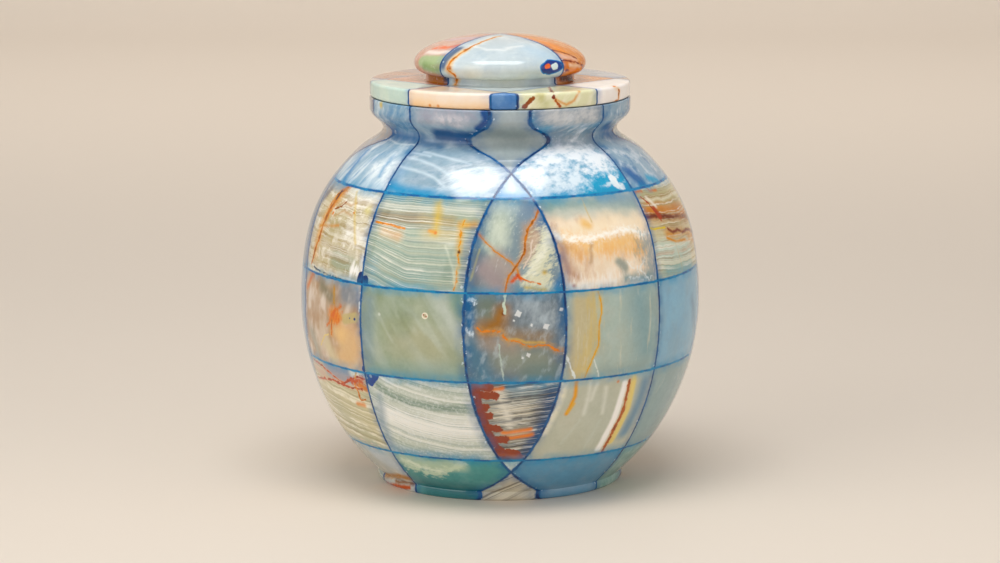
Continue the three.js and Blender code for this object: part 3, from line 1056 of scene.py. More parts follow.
@on_ground("#6FA8C4")
def shoulder_side_front_right_near(rock):
    """A white cloud on sky blue, like surf, that holds part of a painted highlight, under grey-white marble
    at the rim.
    """
    rim_marble = [(548, 114), (570, 118), (592, 114)]
    rim_ground = [(545, 112), (595, 112)]
    neck = [(560, 134), (590, 138)]
    surf_and_highlight = [(530, 168), (552, 158), (580, 156), (600, 160)]
    low_surf_and_highlight = [(534, 184), (556, 184), (574, 180)]
    haze = [(556, 146), (592, 146)]
    sky = [(604, 178), (590, 192), (628, 178)]
    sky_left = [(545, 197), (575, 197)]
    star = [(612, 178), (616, 184), (622, 187)]
    star_arm = [(606, 186), (614, 182)]
    rock.fog("#9CB8CA", 10, 0.45, 0.7, 0.8)
    rock.stain(sky, "#38A8CC", 8, 6, 0.95)
    rock.stain(sky_left, "#5FAFD6", 3, 4, 0.9)
    rock.stain(neck, "#8496A4", 8, 5, 0.95, broken=0.2)
    rock.stain(haze, "#B4C0CA", 5, 5, 0.9, broken=0.2)
    rock.stain(rim_ground, "#9BA5B0", 7, 4, 0.95)
    rock.feather(rim_marble, "#D3D4D4", 4, (1, 0, 0.4), 4, 0.9, size=3, longer=3)
    # the white cloud is partly white crystal and partly a painted highlight of the overhead softbox
    rock.feather(surf_and_highlight, "#F2F6F9", 9, (1, 0, 0.7), 6, 0.96, size=5, longer=3)
    rock.feather(low_surf_and_highlight, "#E8F1F7", 7, (1, 0, 0.8), 5, 0.9, size=5, longer=3)
    rock.stain(star, "#F2F6F7", 2.4, 0.8, 0.95, rough=5, grain=3)
    rock.stain(star_arm, "#E4F0F4", 1.0, 0.8, 0.85, rough=4, grain=3)


@on_ground("#9DB4C4")
def shoulder_side_front_right_far(rock):
    """Grey-blue onyx with white streaks and a dark triangle."""
    neck = [(604, 128), (618, 136)]
    triangle = [(630, 172), (644, 186)]
    cyan = [(648, 178), (658, 181)]
    rock.fog("#D2DCE2", 7, 0.45, 0.65, 0.8, along=(0.5, 0, 0.8), longer=5)
    rock.fog("#5F8BB0", 8, 0.48, 0.68, 0.7)
    rock.stain(neck, "#3F74A6", 4, 4, 0.8)
    rock.stain(triangle, "#2F6CA4", 4, 3, 0.88, rough=4)
    rock.stain(cyan, "#45ACCE", 2.2, 2, 0.88)


@on_ground("#B9B2AD")
def shoulder_inner_left(rock):
    """Beige-grey strip at the back left of the neck."""
    rock.fog("#A9B1BB", 8, 0.4, 0.7, 0.9)


print(len(SHOWN), "looks so far")

# %% [markdown]
# The upper course has the liveliest stones: banded, cracked and full of crystal. Layers could be
# drawn one by one, but noise that changes only with the height in their stack gives them all at
# once. Cracks are veins with a paler halo, and feathers are fibres of crystal.

# %% Stones of the upper course, left side
@on_ground("#D2C8AC")
def upper_side_front_left_far(rock):
    """Cream marble with a broad orange-brown vein down its left."""
    main_vein = [(352, 185), (342, 191), (334, 203), (328, 213), (324, 222), (320, 235), (316, 248),
                 (312, 262)]
    main_top = [(350, 186), (341, 193), (333, 205), (327, 216)]
    twin_vein = [(347, 187), (338, 194), (330, 206)]
    glow = [(345, 190), (332, 206), (322, 226), (315, 252)]
    side_line = [(335, 209), (342, 206), (348, 201)]
    dark_core = [(342, 191), (337, 198)]
    dark_core_low = [(329, 212), (325, 222)]
    orange_spot = [(333, 213)]
    side_band = [(320, 226), (338, 226)]
    blue_corner = [(333, 181), (345, 188)]
    smudge = [(324, 198), (331, 190)]
    tan_arches = [[(337, 207), (344, 202), (351, 206), (357, 203)], [(334, 216), (344, 211), (352, 216)]]
    beige_patch = [(326, 229), (346, 229)]
    yellow_line = [(357, 192), (355, 215), (355, 243)]
    yellow_haze = [(368, 210)]
    line_spot = [(354, 213)]
    grey_green = [(336, 260), (350, 266)]
    white_foot = [(352, 270), (362, 274), (366, 262)]
    white_side = [(350, 232), (366, 240)]
    white_top = [(346, 204), (368, 202)]
    grey_top = [(366, 192), (378, 196)]
    bottom_line = [(314, 267), (330, 276), (345, 281), (356, 283)]
    resin_chip = [(360, 281), (361.5, 276)]
    height = rock.stack((0.12, 0, 1), 6, 12)
    rock.fog("#C3B692", 9, 0.42, 0.66, 0.9)
    rock.fog("#F4EFE2", 5, 0.5, 0.62, 0.7)
    rock.stain(beige_patch, "#B5A982", 4, 4, 0.85, broken=0.2)
    rock.stain(grey_green, "#A9AE96", 6, 4, 0.92)
    rock.stain(grey_top, "#BEBFB6", 4, 4, 0.75)
    rock.feather(white_top, "#F4EFE2", 4, (1, 0, 0.3), 4, 0.9, size=3, longer=3)
    rock.feather(white_side, "#F6F2E8", 4, (1, 0, 0.2), 4, 0.9, size=3, longer=3)
    rock.layers(height, 6.0, "#F3EEE0", 0.5, 0.68, 0.45, seed=8)
    rock.lines(height, 4.6, "#A48E66", 0.05, 0.5, seed=31, fade=8)
    rock.lines(height, 3.6, "#FBF9F2", 0.05, 0.5, seed=57, fade=8)
    rock.feather(white_foot, "#FBF9F4", 3, (0.3, 0, 1), 2, 0.95, size=2)
    for arch in tan_arches:
        rock.stain(arch, "#BE9560", 0.6, 1.2, 0.75, rough=2.5)
    rock.stain(blue_corner, "#8A9CAB", 3.5, 3, 0.8)
    rock.stain(smudge, "#6A6A74", 3.0, 3, 0.85)
    rock.stain(glow, "#E4A850", 3.0, 4.5, 0.85, rough=6, broken=0.3)
    rock.stain(yellow_line, "#DDC050", 0.7, 1.2, 0.6, rough=1.5)
    rock.stain(yellow_haze, "#E0D68C", 2, 3, 0.6)
    rock.stain(side_band, "#D2903C", 0.7, 1.2, 0.75, rough=2)
    rock.feather(main_top, "#D48A34", 1.8, (-0.4, 0, 1), 1.4, 0.9, size=1.2, longer=3)
    rock.vein(main_vein, "#CC7E1C", 2.1, rough=3.5, grain=5)
    rock.vein(twin_vein, "#DC9030", 1.1, rough=3)
    rock.vein(side_line, "#94561E", 0.7)
    rock.stain(dark_core, "#4A220C", 0.9, 0.9, 0.9, rough=3)
    rock.stain(dark_core_low, "#7A4418", 0.4, 0.7, 0.8, rough=2)
    rock.stain(orange_spot, "#E5861E", 1.0, 0.9, 0.95, rough=1)
    rock.stain(line_spot, "#DC8A2C", 0.6, 0.7, 0.9, rough=0.5)
    rock.vein(bottom_line, "#4F5A64", 0.9)
    rock.patch(resin_chip, "#0A2868", 2.4, rough=1.5)


@on_ground("#98AA9C")
def upper_side_front_left_near(rock):
    """Fine layers, cream and khaki above, sage to blue-green below, that dip to a fold."""
    green_top = [(385, 196), (430, 200), (484, 203)]
    pale_band = [(386, 205), (420, 208), (478, 211)]
    khaki = [(379, 217), (400, 218), (420, 219)]
    khaki_right = [(424, 220), (450, 222)]
    orange_streak = [(376, 222), (388, 224), (404, 229)]
    peach = [(384, 230), (398, 235)]
    beige = [(430, 232), (456, 234)]
    white_right = [(452, 244), (456, 284)]
    teal_foot = [(374, 284), (400, 289), (420, 290)]
    teal_left = [(372, 262), (371, 284)]
    haze = [(439, 203), (438, 218), (436, 233)]
    haze_spot = [(436, 233)]
    haze_side = [(430, 231), (434, 232)]
    vein = [(465, 221), (461, 229), (461, 240), (459, 252), (459, 262), (456, 275), (455, 290)]
    vein_spot = [(459, 252)]
    vein_haze = [(463, 224), (474, 224)]
    vein_glow = [(461, 228), (459, 252)]
    white_slant = [(446, 246), (452, 268), (455, 285)]
    mauve = [(474, 246), (468, 276)]
    chips = [(468, 262), (462, 287)]
    resin_chip = [(365, 282), (365, 279)]
    height = rock.folded((0.02, 0, 1), 3.0, 20, turn=seen_at(407, 258), slope=0.36, above=26)
    rock.layers(height, 6.0, "#B4BDAA", 0.45, 0.6, 0.8)
    rock.stain(beige, "#CDBE92", 5, 5, 0.8, rough=3)
    rock.stain(khaki, "#98886C", 4.0, 3, 0.93, rough=2)
    rock.stain(khaki_right, "#B4A47C", 4.0, 3, 0.85, rough=2)
    rock.stain(teal_foot, "#8CB2B6", 5, 9, 0.85, rough=2)
    rock.stain(teal_left, "#7AA2B0", 2.5, 5, 0.75)
    rock.stain(green_top, "#80988F", 2.4, 2.5, 0.85, rough=2)
    rock.stain(pale_band, "#DCDCD2", 2.0, 2.6, 0.75, rough=3)
    rock.layers(height, 3.4, "#D2D0B8", 0.52, 0.66, 0.4, seed=7)
    rock.layers(height, 2.6, "#7E8D86", 0.56, 0.7, 0.4, seed=12)
    rock.stain(peach, "#E6B884", 2.6, 3, 0.75, rough=3)
    rock.stain(mauve, "#A4989A", 4, 5, 0.6, broken=0.3)
    rock.lines(height, 5.0, "#F6F5EA", 0.035, 0.75, seed=19, fade=16)
    rock.lines(height, 3.4, "#F3F2E6", 0.04, 0.4, seed=43, fade=16)
    rock.lines(height, 2.4, "#6F8078", 0.05, 0.35, seed=71, fade=16)
    rock.layers(height, 1.2, "#ECE9D8", 0.54, 0.66, 0.3, seed=5)
    rock.stain(haze, "#E2C04A", 1.6, 3.2, 0.7, rough=4)
    rock.stain(haze_side, "#E5A23A", 0.8, 1.2, 0.85, rough=2)
    rock.vein(orange_streak, "#EA9A1E", 1.0, rough=1.0)
    rock.stain(haze_spot, "#DC8418", 0.8, 0.7, 0.95, rough=1)
    rock.stain(vein_haze, "#E6AE4C", 1.8, 2.5, 0.8)
    rock.stain(vein_glow, "#E2B45C", 1.0, 2.8, 0.75, rough=2)
    rock.vein(vein, "#DC9A34", 0.7, halo="#E0C27C", halo_reach=2.2, rough=3.5)
    rock.stain(vein_spot, "#5A2A0C", 0.8, 0.7, 0.98, rough=1)
    rock.stain(white_slant, "#E2E6D6", 0.3, 1.2, 0.6, rough=2)
    rock.stain(white_right, "#DDE0D0", 1.2, 3, 0.4, broken=0.4)
    for chip in chips:
        rock.chip(chip, "#F0F2EC", 1.3)
    rock.patch(resin_chip, "#0A2868", 2.2, rough=1.5)


# %% Stones of the upper course, front corner
@on_ground("#8C9CA2")
def upper_corner_front(rock):
    """Blue-grey onyx with two orange cracks that cross, and feathers of yellow-green."""
    crack_right = [(539, 209), (534, 220), (528, 230), (525, 240), (524, 252), (521, 260), (515, 268),
                   (509, 276), (506, 284), (505, 292)]
    crack_left = [(478, 233), (486, 242), (495, 252), (504, 257), (511, 262), (516, 268), (520, 277)]
    crack_end = [(520, 277), (527, 281), (541, 284)]
    burst = [(513, 281), (518, 276), (521, 279)]
    burst_core = [(516, 275), (520, 278)]
    fan = [(494, 244), (502, 214)]
    fan_bright = [(500, 226), (504, 242)]
    pale_top = [(500, 206), (512, 208)]
    grey_left = [(482, 224), (472, 262)]
    blue_right = [(530, 208), (541, 226)]
    brown = [(532, 232), (530, 250)]
    facet = [(536, 236), (533, 244)]
    facet_low = [(531, 250), (526, 262)]
    white_seam = [(532, 240), (530, 256), (524, 268)]
    white_seam_side = [(536, 246), (530, 254)]
    mauve = [(486, 270), (500, 286)]
    mauve_mid = [(496, 258), (508, 270)]
    feather = [(548, 240), (543, 256), (538, 274)]
    feather_edge = [(549, 228), (546, 246), (536, 262), (530, 276)]
    feather_low = [(528, 284), (550, 286)]
    yellow_spot = [(545, 272)]
    yellow_low = [(525, 288), (545, 290)]
    yellow_line = [(480, 250), (470, 280)]
    dark_band = [(478, 258), (474, 284)]
    blue_corner = [(562, 276), (558, 288)]
    rock.fog("#A0AFB2", 9, 0.42, 0.68, 0.85, along=(0.3, 0, 1), longer=2)
    rock.stain(grey_left, "#768E98", 6, 6, 0.85)
    rock.stain(blue_right, "#8498AA", 6, 6, 0.9)
    rock.stain(fan, "#AEB8A8", 5, 5, 0.9, rough=6)
    rock.feather(fan, "#D0D8CC", 4, (0.35, 0, 1), 4, 0.7, size=2.4, longer=4)
    rock.stain(fan_bright, "#D2D8C8", 3, 4, 0.7)
    rock.stain(pale_top, "#B4C4C6", 4, 4, 0.6)
    rock.stain(dark_band, "#6A7580", 3, 4, 0.75)
    rock.stain(mauve, "#A99A98", 6, 5, 0.85)
    rock.stain(mauve_mid, "#B9A69A", 4, 5, 0.7)
    rock.stain(brown, "#B5987E", 4.5, 4, 0.85, rough=6)
    rock.hairs((0.35, 0, 1), 0.3)
    rock.feather(feather, "#DEDDC4", 6.5, (1, 0, 0.55), 3.0, 0.95, size=1.3, longer=5)
    rock.feather(feather_edge, "#EFEEDD", 1.6, (1, 0, 0.55), 1.6, 0.9, size=1.2, longer=6)
    rock.feather(feather_low, "#E2E0C6", 2.4, (0.5, 0, 1), 2, 0.9, size=1.6, longer=4)
    rock.stain(yellow_spot, "#D2AE34", 0.9, 1.8, 0.85, rough=2)
    rock.stain(yellow_low, "#D2B43C", 0.7, 1.4, 0.75, rough=3)
    rock.stain(yellow_line, "#D2C884", 0.4, 0.8, 0.65, rough=1.5)
    rock.stain(facet, "#CDB8A4", 2.0, 2.0, 0.8, rough=4)
    rock.stain(facet_low, "#C4AA92", 1.6, 2.4, 0.8, rough=4)
    rock.vein(white_seam, "#DDCFC0", 0.7)
    rock.vein(white_seam_side, "#E2D6C8", 0.5)
    rock.vein(crack_left, "#D2924A", 0.6, halo="#C0A080", halo_reach=2.4, rough=1.6)
    rock.vein(crack_right, "#C8843E", 1.0, halo="#CDAA88", halo_reach=3.2, rough=1.8)
    rock.vein(crack_end, "#E08A44", 0.7)
    rock.stain(burst, "#E2641A", 0.8, 1.3, 0.95, rough=3, grain=3)
    rock.stain(burst_core, "#CC5210", 0.5, 0.8, 0.9, rough=2, grain=3)
    rock.stain(blue_corner, "#3A84B8", 1.8, 2.0, 0.88, rough=4, broken=0.3)


# %% Stones of the upper course, right side
@on_ground("#ECDAC2")
def upper_side_front_right_near(rock):
    """Grey-green above, then peach and cream cloud under a white crest, and crystals at the foot."""
    green_top = [(548, 206), (590, 205), (632, 203)]
    pale_mid = [(560, 214), (590, 212), (630, 210)]
    blue_top = [(602, 198), (630, 196)]
    teal_left = [(544, 203), (558, 202)]
    cloud = [(564, 234), (586, 232), (606, 224), (638, 224)]
    crest = [(556, 236), (570, 239), (590, 239), (606, 234), (622, 230), (636, 230), (646, 236)]
    ember = [(566, 242), (584, 246), (606, 243), (630, 240), (644, 246)]
    ember_left = [(572, 248), (580, 256)]
    ember_right = [(604, 250), (622, 248), (640, 250)]
    ember_top = [(584, 224), (588, 226)]
    brown = [(562, 250), (566, 264), (574, 276)]
    brown_fold = [(591, 244), (591, 262)]
    yellow_line = [(582, 199), (586, 210), (592, 222)]
    grey_spot = [(620, 263), (625, 268)]
    grey_right = [(646, 246), (652, 262), (650, 276)]
    grey_foot = [(626, 278), (650, 276)]
    white_foot = [(570, 286), (596, 284), (616, 280)]
    pink_foot = [(575, 286)]
    crystals = [[(636, 266), (640, 276)], [(640, 268), (650, 280)], [(630, 279), (652, 277)],
                [(628, 262), (634, 268)], [(644, 258), (640, 268)]]
    up = (0.05, 0, 1)
    rock.fog("#F4E6D2", 10, 0.4, 0.66, 0.75)
    rock.fog("#D6B89C", 8, 0.52, 0.68, 0.7, along=up, longer=4)
    rock.stain(green_top, "#9DAFA9", 6, 5, 0.96, rough=5)
    rock.stain(blue_top, "#96AAB4", 4, 5, 0.8)
    rock.stain(teal_left, "#84A2A0", 3, 4, 0.8)
    rock.stain(pale_mid, "#D2D3C6", 2, 4, 0.65, rough=6)
    rock.stain(cloud, "#F8E8CE", 5, 5, 0.9, rough=8)
    rock.stain(ember_top, "#F0C880", 2.2, 2.5, 0.8)
    rock.feather(ember, "#F2CB8C", 3.2, up, 3.5, 0.92, size=2.0, longer=3)
    rock.feather(ember_left, "#E2B078", 2.4, up, 3, 0.85, size=1.6)
    rock.feather(ember_right, "#EFC080", 2.8, up, 3.5, 0.85, size=1.6)
    rock.stain(brown, "#BF9A84", 3.4, 4, 0.85, rough=6)
    rock.stain(brown_fold, "#B0865E", 0.8, 1.6, 0.7, rough=4)
    rock.feather(crest, "#FFFBF2", 1.5, (1, 0, 0.4), 1.4, 0.95, size=1.8, longer=2)
    rock.stain(yellow_line, "#D2B878", 0.3, 0.7, 0.8, rough=1.2)
    rock.feather(grey_right, "#A2ABAA", 5, up, 4, 0.88, size=2, longer=3)
    rock.stain(grey_foot, "#8CA2A4", 2.6, 2.5, 0.85, broken=0.3)
    rock.stain(grey_spot, "#8E9890", 2.6, 2.0, 0.85)
    rock.feather(white_foot, "#F7F1E8", 3, up, 2.5, 0.85, size=1.6)
    rock.stain(pink_foot, "#B87458", 0.9, 1.2, 0.8, rough=2)
    for line in crystals:
        rock.stain(line, "#EEF1F0", 0.4, 0.7, 0.85, rough=5, grain=3)


@on_ground("#D2CAA8")
def upper_side_front_right_far(rock):
    """Khaki and rust layers over pale blue-green."""
    khaki_top = [(640, 200), (660, 196), (676, 200)]
    rust_band = [(645, 217), (656, 216), (670, 217), (686, 216)]
    rust_glow = [(648, 212), (684, 212)]
    orange_haze = [(668, 234), (692, 236)]
    zigzag = [(668, 229), (673, 232), (677, 229), (682, 233), (686, 229), (692, 232)]
    orange_line = [(667, 238), (676, 241), (684, 240), (694, 240)]
    red_vein = [(640, 196), (648, 203), (655, 212), (661, 220)]
    red_patch = [(654, 208), (660, 216)]
    red_margin = [(646, 198), (656, 206)]
    yellow_line = [(646, 228), (656, 229), (665, 228)]
    tan_line = [(670, 190), (680, 220), (682, 232)]
    orange_marks = [(634, 192), (641, 191)]
    orange_marks_right = [(646, 188), (650, 191), (656, 190)]
    beige = [(652, 224), (684, 224)]
    brown_right = [(674, 208), (686, 214)]
    pale_foot = [(660, 252), (688, 248)]
    green_foot = [(668, 270), (690, 264)]
    yellow_uprights = [(676, 244), (681, 262), (684, 276)]
    height = rock.stack((0.1, 0, 1), 4, 12)
    rock.stain(khaki_top, "#B8AE84", 5, 4, 0.85)
    rock.stain(beige, "#D2C4A4", 4, 4, 0.9)
    rock.stain(brown_right, "#AA8A66", 4, 4, 0.7)
    rock.stain(rust_glow, "#D08C46", 5.0, 4, 0.93, rough=4)
    rock.stain(orange_haze, "#DA9A48", 2.8, 4, 0.9, rough=4)
    rock.layers(height, 2.8, "#B0A27C", 0.5, 0.66, 0.6)
    rock.stain(pale_foot, "#CEDACE", 6, 4, 0.92)
    rock.stain(green_foot, "#98B8B4", 5, 5, 0.9)
    rock.layers(height, 3.6, "#EDE8D4", 0.56, 0.68, 0.6, seed=3)
    rock.lines(height, 4.2, "#F4F1E6", 0.05, 0.6, seed=11, fade=10)
    rock.lines(height, 3.2, "#A9885C", 0.05, 0.5, seed=37, fade=10)
    rock.stain(rust_band, "#7A3410", 1.4, 1.2, 0.98, rough=3, grain=4)
    rock.stain(zigzag, "#84300F", 0.8, 0.8, 0.98, rough=3)
    rock.stain(orange_line, "#E09A34", 0.7, 0.9, 0.92, rough=2)
    rock.stain(red_margin, "#F0E8DA", 1.0, 1.2, 0.85, rough=2)
    rock.vein(red_vein, "#B4583C", 1.0)
    rock.stain(red_patch, "#B05038", 1.6, 1.0, 0.92, rough=3)
    rock.vein(yellow_line, "#E0C860", 0.9)
    rock.stain(tan_line, "#C08C4C", 0.2, 0.7, 0.75, rough=1.5)
    rock.stain(yellow_uprights, "#D2B884", 0.2, 0.8, 0.65, rough=1.5)
    rock.stain(orange_marks, "#DC8426", 0.9, 1.0, 0.95, rough=2)
    rock.stain(orange_marks_right, "#DC842A", 0.7, 1.0, 0.95, rough=2)


print(len(SHOWN), "looks so far")

# %% [markdown]
# The middle course is calmer. Large soft clouds carry most of each stone, so it starts with fog,
# and single marks, such as the orange seam and the white chips of the front one, lie over it.

# %% Stones of the middle course, left side
@on_ground("#B89C80")
def middle_side_front_left_far(rock):
    """Peach onyx with a burst of orange, grey at the top, and a pale ellipse."""
    top_grey = [(345, 293), (356, 298)]
    olive_top = [(322, 286), (330, 296)]
    ochre_vein = [(334, 286), (334, 303)]
    burst = [(333, 315), (336, 317)]
    burst_line = [(341, 306), (333, 313), (331, 320), (327, 325)]
    burst_tail = [(332, 320), (332, 334)]
    peach = [(341, 332), (352, 345), (345, 358)]
    glow = [(341, 334)]
    rose = [(352, 330), (356, 350)]
    ellipse = [(345, 319), (355, 318)]
    dots = [(350, 318.5)]
    dot_right = [(354.5, 319.5)]
    pale_foot = [(328, 345), (334, 358)]
    arc = [(321, 345), (324, 336), (328, 334)]
    tan = [(312, 300), (322, 308)]
    orange_corner = [(308, 285), (314, 272)]
    grey_left = [(312, 332), (318, 350)]
    chip = [(359.5, 303), (359.5, 310)]
    resin_chip = [(364, 369)]
    rock.fog("#D6C8B6", 12, 0.42, 0.68, 0.85, along=(0.6, 0, 1), longer=2, detail=2)
    rock.stain(tan, "#BFA892", 5, 5, 0.75)
    rock.stain(grey_left, "#ABAB9F", 4, 5, 0.85)
    rock.stain(olive_top, "#857F68", 4, 4, 0.88)
    rock.stain(top_grey, "#8D9298", 6, 4, 0.95)
    rock.fog("#EDE4DA", 9, 0.46, 0.74, 0.6, along=(0.6, 0, 1), longer=2, detail=2)
    rock.stain(rose, "#D4B69C", 4, 5, 0.75)
    rock.stain(peach, "#DEBE94", 8, 6, 0.9, rough=3)
    rock.stain(glow, "#EBCB98", 4, 5, 0.85)
    rock.stain(pale_foot, "#D8CCAC", 4, 4, 0.85)
    rock.stain(ellipse, "#C6B88A", 2.8, 0.8, 0.9, rough=1)
    rock.stain(burst, "#E6A050", 4.0, 3.4, 0.92, rough=6, grain=4)
    rock.feather(burst, "#DC7622", 3.0, (0.4, 0, 1), 1.8, 0.95, size=1.6, longer=4)
    rock.stain(burst_line, "#D6701C", 0.6, 1.2, 0.9, rough=4, grain=4)
    rock.vein(burst_tail, "#D07A2C", 1.0, halo="#E2AC68", halo_reach=3)
    rock.vein(ochre_vein, "#C29238", 0.9, halo="#B29A62", halo_reach=2.5)
    rock.vein(arc, "#E2CE92", 0.6)
    rock.stain(orange_corner, "#D07A3C", 1.8, 2, 0.85)
    rock.stain(dots, "#2B5F8A", 0.45, 0.3, 0.9, rough=0)
    rock.stain(dot_right, "#123C7A", 0.8, 0.3, 0.95, rough=0)
    rock.patch(chip, "#EEF0EE", 0.9, rough=1.0)
    rock.patch(resin_chip, "#0E2F86", 1.9, rough=1.5)


@on_ground("#A0AB94")
def middle_side_front_left_near(rock):
    """Sage onyx with soft slanting light and one small pit."""
    olive = [(383, 305), (398, 318)]
    olive_right = [(390, 324), (402, 328)]
    beige = [(405, 335), (430, 345)]
    teal_top = [(456, 296), (462, 312)]
    slants = [(388, 293), (412, 312), (440, 345)]
    slants_right = [(440, 298), (456, 330), (462, 352)]
    pale_right = [(442, 300), (456, 336)]
    teal_foot = [(376, 374), (420, 378), (462, 380)]
    blue_left = [(369, 300), (369, 360)]
    pit = [(425, 315.5)]
    pit_specks = [[(423.5, 314.5)], [(426.5, 316.5)]]
    mark = [(379, 314)]
    down = (0.6, 0, -0.8)
    rock.fog("#B2B9A4", 20, 0.4, 0.68, 0.8)
    rock.stain(beige, "#B4B498", 10, 9, 0.8)
    rock.stain(olive, "#8F9C82", 8, 6, 0.8)
    rock.stain(olive_right, "#9BA384", 4, 3, 0.7)
    rock.stain(pale_right, "#BAC1B6", 5, 6, 0.8)
    rock.fog("#C2CABF", 12, 0.46, 0.74, 0.55, along=down, longer=5, detail=1)
    rock.fog("#DCE2D8", 5.0, 0.5, 0.8, 0.25, along=down, longer=12, detail=1)
    rock.stain(slants, "#B9C4B8", 1.4, 3.5, 0.45, rough=3)
    rock.stain(slants_right, "#C4CCC4", 1.2, 3.5, 0.45, rough=3)
    rock.stain(teal_top, "#76998E", 3, 4, 0.8)
    rock.stain(teal_foot, "#84A4A2", 6, 8, 0.85)
    rock.stain(blue_left, "#7B96A4", 3, 6, 0.7)
    rock.stain(mark, "#D0D6CC", 0.8, 0.5, 0.8, rough=1)
    rock.stain(pit, "#F0E8D6", 1.8, 0.3, 0.95, rough=0)
    rock.stain(pit, "#B9AE90", 1.0, 0.4, 0.9, rough=0)
    for speck in pit_specks:
        rock.stain(speck, "#A04C28", 0.4, 0.3, 0.9, rough=0)


# %% Stones of the middle course, front corner and right side
@on_ground("#76828A")
def middle_corner_front(rock):
    """Stormy blue-grey onyx, cut across by an orange seam, with white chips."""
    seam = [(477, 328), (482, 331), (492, 332), (501, 331), (503, 337), (508, 341), (520, 342), (524, 345),
            (530, 346), (545, 345), (551, 347), (555, 350), (563, 351)]
    yellow_seam = [(506, 339), (520, 340), (526, 343), (545, 343)]
    amber = [(486, 328), (498, 324), (502, 314)]
    dark_spot = [(503, 314)]
    pale_vein = [(505, 295), (504, 304), (505, 313)]
    olive = [(486, 304), (492, 318)]
    brown = [(510, 334), (545, 338)]
    pinkish = [(486, 342), (512, 347)]
    green_foot = [(505, 358), (540, 362)]
    teal_foot = [(530, 374), (556, 372)]
    blue_left = [(469, 300), (470, 326)]
    blue_right = [(563, 300), (564, 332)]
    blue_foot = [(472, 350), (482, 374)]
    pale_foot = [(499, 345), (501, 362), (503, 380)]
    wisps = [(530, 300), (546, 318)]
    chips_left = [[(468, 300), (474, 302)], [(467, 331), (470, 334)]]
    chips = {(519, 314): 2.4, (514, 321): 0.8, (531, 325): 1.1, (546, 327): 2.1, (562, 309): 1.4,
             (528, 355): 1.5, (522, 358): 0.9}
    rock.fog("#8E999F", 10, 0.42, 0.66, 0.8)
    rock.stain(blue_foot, "#54829A", 6, 7, 0.85)
    rock.stain(olive, "#7C877A", 6, 6, 0.9)
    rock.stain(green_foot, "#959B8C", 7, 6, 0.85)
    rock.stain(teal_foot, "#748A88", 5, 5, 0.8)
    rock.stain(brown, "#9A8468", 4, 4, 0.85)
    rock.stain(pinkish, "#AA9C8E", 4, 5, 0.8)
    rock.feather(wisps, "#B6C0C6", 6, (0.3, 0, 1), 6, 0.7, size=4, longer=2)
    rock.stain(blue_left, "#0C6C9A", 2.6, 3.0, 0.92)
    rock.stain(blue_right, "#3A7298", 2.0, 4, 0.8)
    rock.fog("#C8D4DA", 5.0, 0.5, 0.74, 0.5, along=(0.3, 0, 1), longer=2, detail=3)
    rock.stain(amber, "#A87426", 4.0, 5, 0.9, rough=6)
    rock.stain(dark_spot, "#7A3A0A", 0.9, 0.8, 0.9, rough=1)
    rock.vein(pale_vein, "#CBD6C6", 1.3)
    rock.vein(pale_foot, "#BCC8C0", 0.7)
    rock.stain(yellow_seam, "#E0BE62", 0.6, 1.0, 0.85, rough=3)
    rock.vein(seam, "#E08A2C", 0.7, halo="#D0A870", halo_reach=3.6, rough=3.5)
    for chip in chips_left:
        rock.feather(chip, "#E0EAF0", 1.0, (0.4, 0, 1), 0.6, 0.95, size=1.2, longer=2)
    for place, reach in chips.items():
        rock.chip(place, "#E4E6E6", reach)


@on_ground("#B8C6BE")
def middle_side_front_right_near(rock):
    """Sage onyx with an upright yellow band that ends in an amber edge."""
    band = [(584, 292), (583, 330), (580, 350), (578, 376)]
    band_right = [(594, 296), (594, 330), (588, 352), (582, 372)]
    amber_edge = [(598, 292), (601, 303), (602, 314), (599, 325), (598, 345), (593, 358), (588, 370),
                  (585, 378)]
    teal_right = [(640, 300), (646, 350)]
    teal_foot = [(604, 372), (640, 366)]
    white_left = [(567, 356), (570, 366), (574, 378)]
    white_right = [(594, 360), (600, 378)]
    rock.fog("#B6BCAE", 16, 0.4, 0.68, 0.7)
    rock.stain(teal_right, "#90ACB0", 9, 10, 0.9)
    rock.stain(teal_foot, "#9DADA8", 4, 6, 0.7)
    rock.stain(band, "#CCC09C", 7, 3.0, 0.9, rough=2.5)
    rock.feather(band_right, "#D6C48E", 3.0, (0, 0, 1), 2.0, 0.75, size=2, longer=8)
    rock.fog("#DEDAC4", 4, 0.56, 0.7, 0.5, along=(0, 0, 1), longer=8)
    rock.vein(amber_edge, "#E0B050", 0.6, halo="#D8C084", halo_reach=2.0, rough=1.2)
    rock.vein(white_left, "#EEF0EA", 0.9)
    rock.vein(white_right, "#DCE2DA", 0.7)


@on_ground("#98BED2")
def middle_side_front_right_far(rock):
    """Plain blue onyx, almost clear, with an upright darker band."""
    dark_band = [(692, 300), (690, 370)]
    rock.fog("#9BB6C4", 22, 0.4, 0.68, 0.7)
    rock.stain(dark_band, "#6E8EA4", 3, 5, 0.6)


print(len(SHOWN), "looks so far")

# %% [markdown]
# In the lower course some layers bend like a wave, so their height is measured out from a far
# centre, which bends them all in one go. The russet lobes of the front stone have sharp edges,
# so they are hard patches, one below the other.

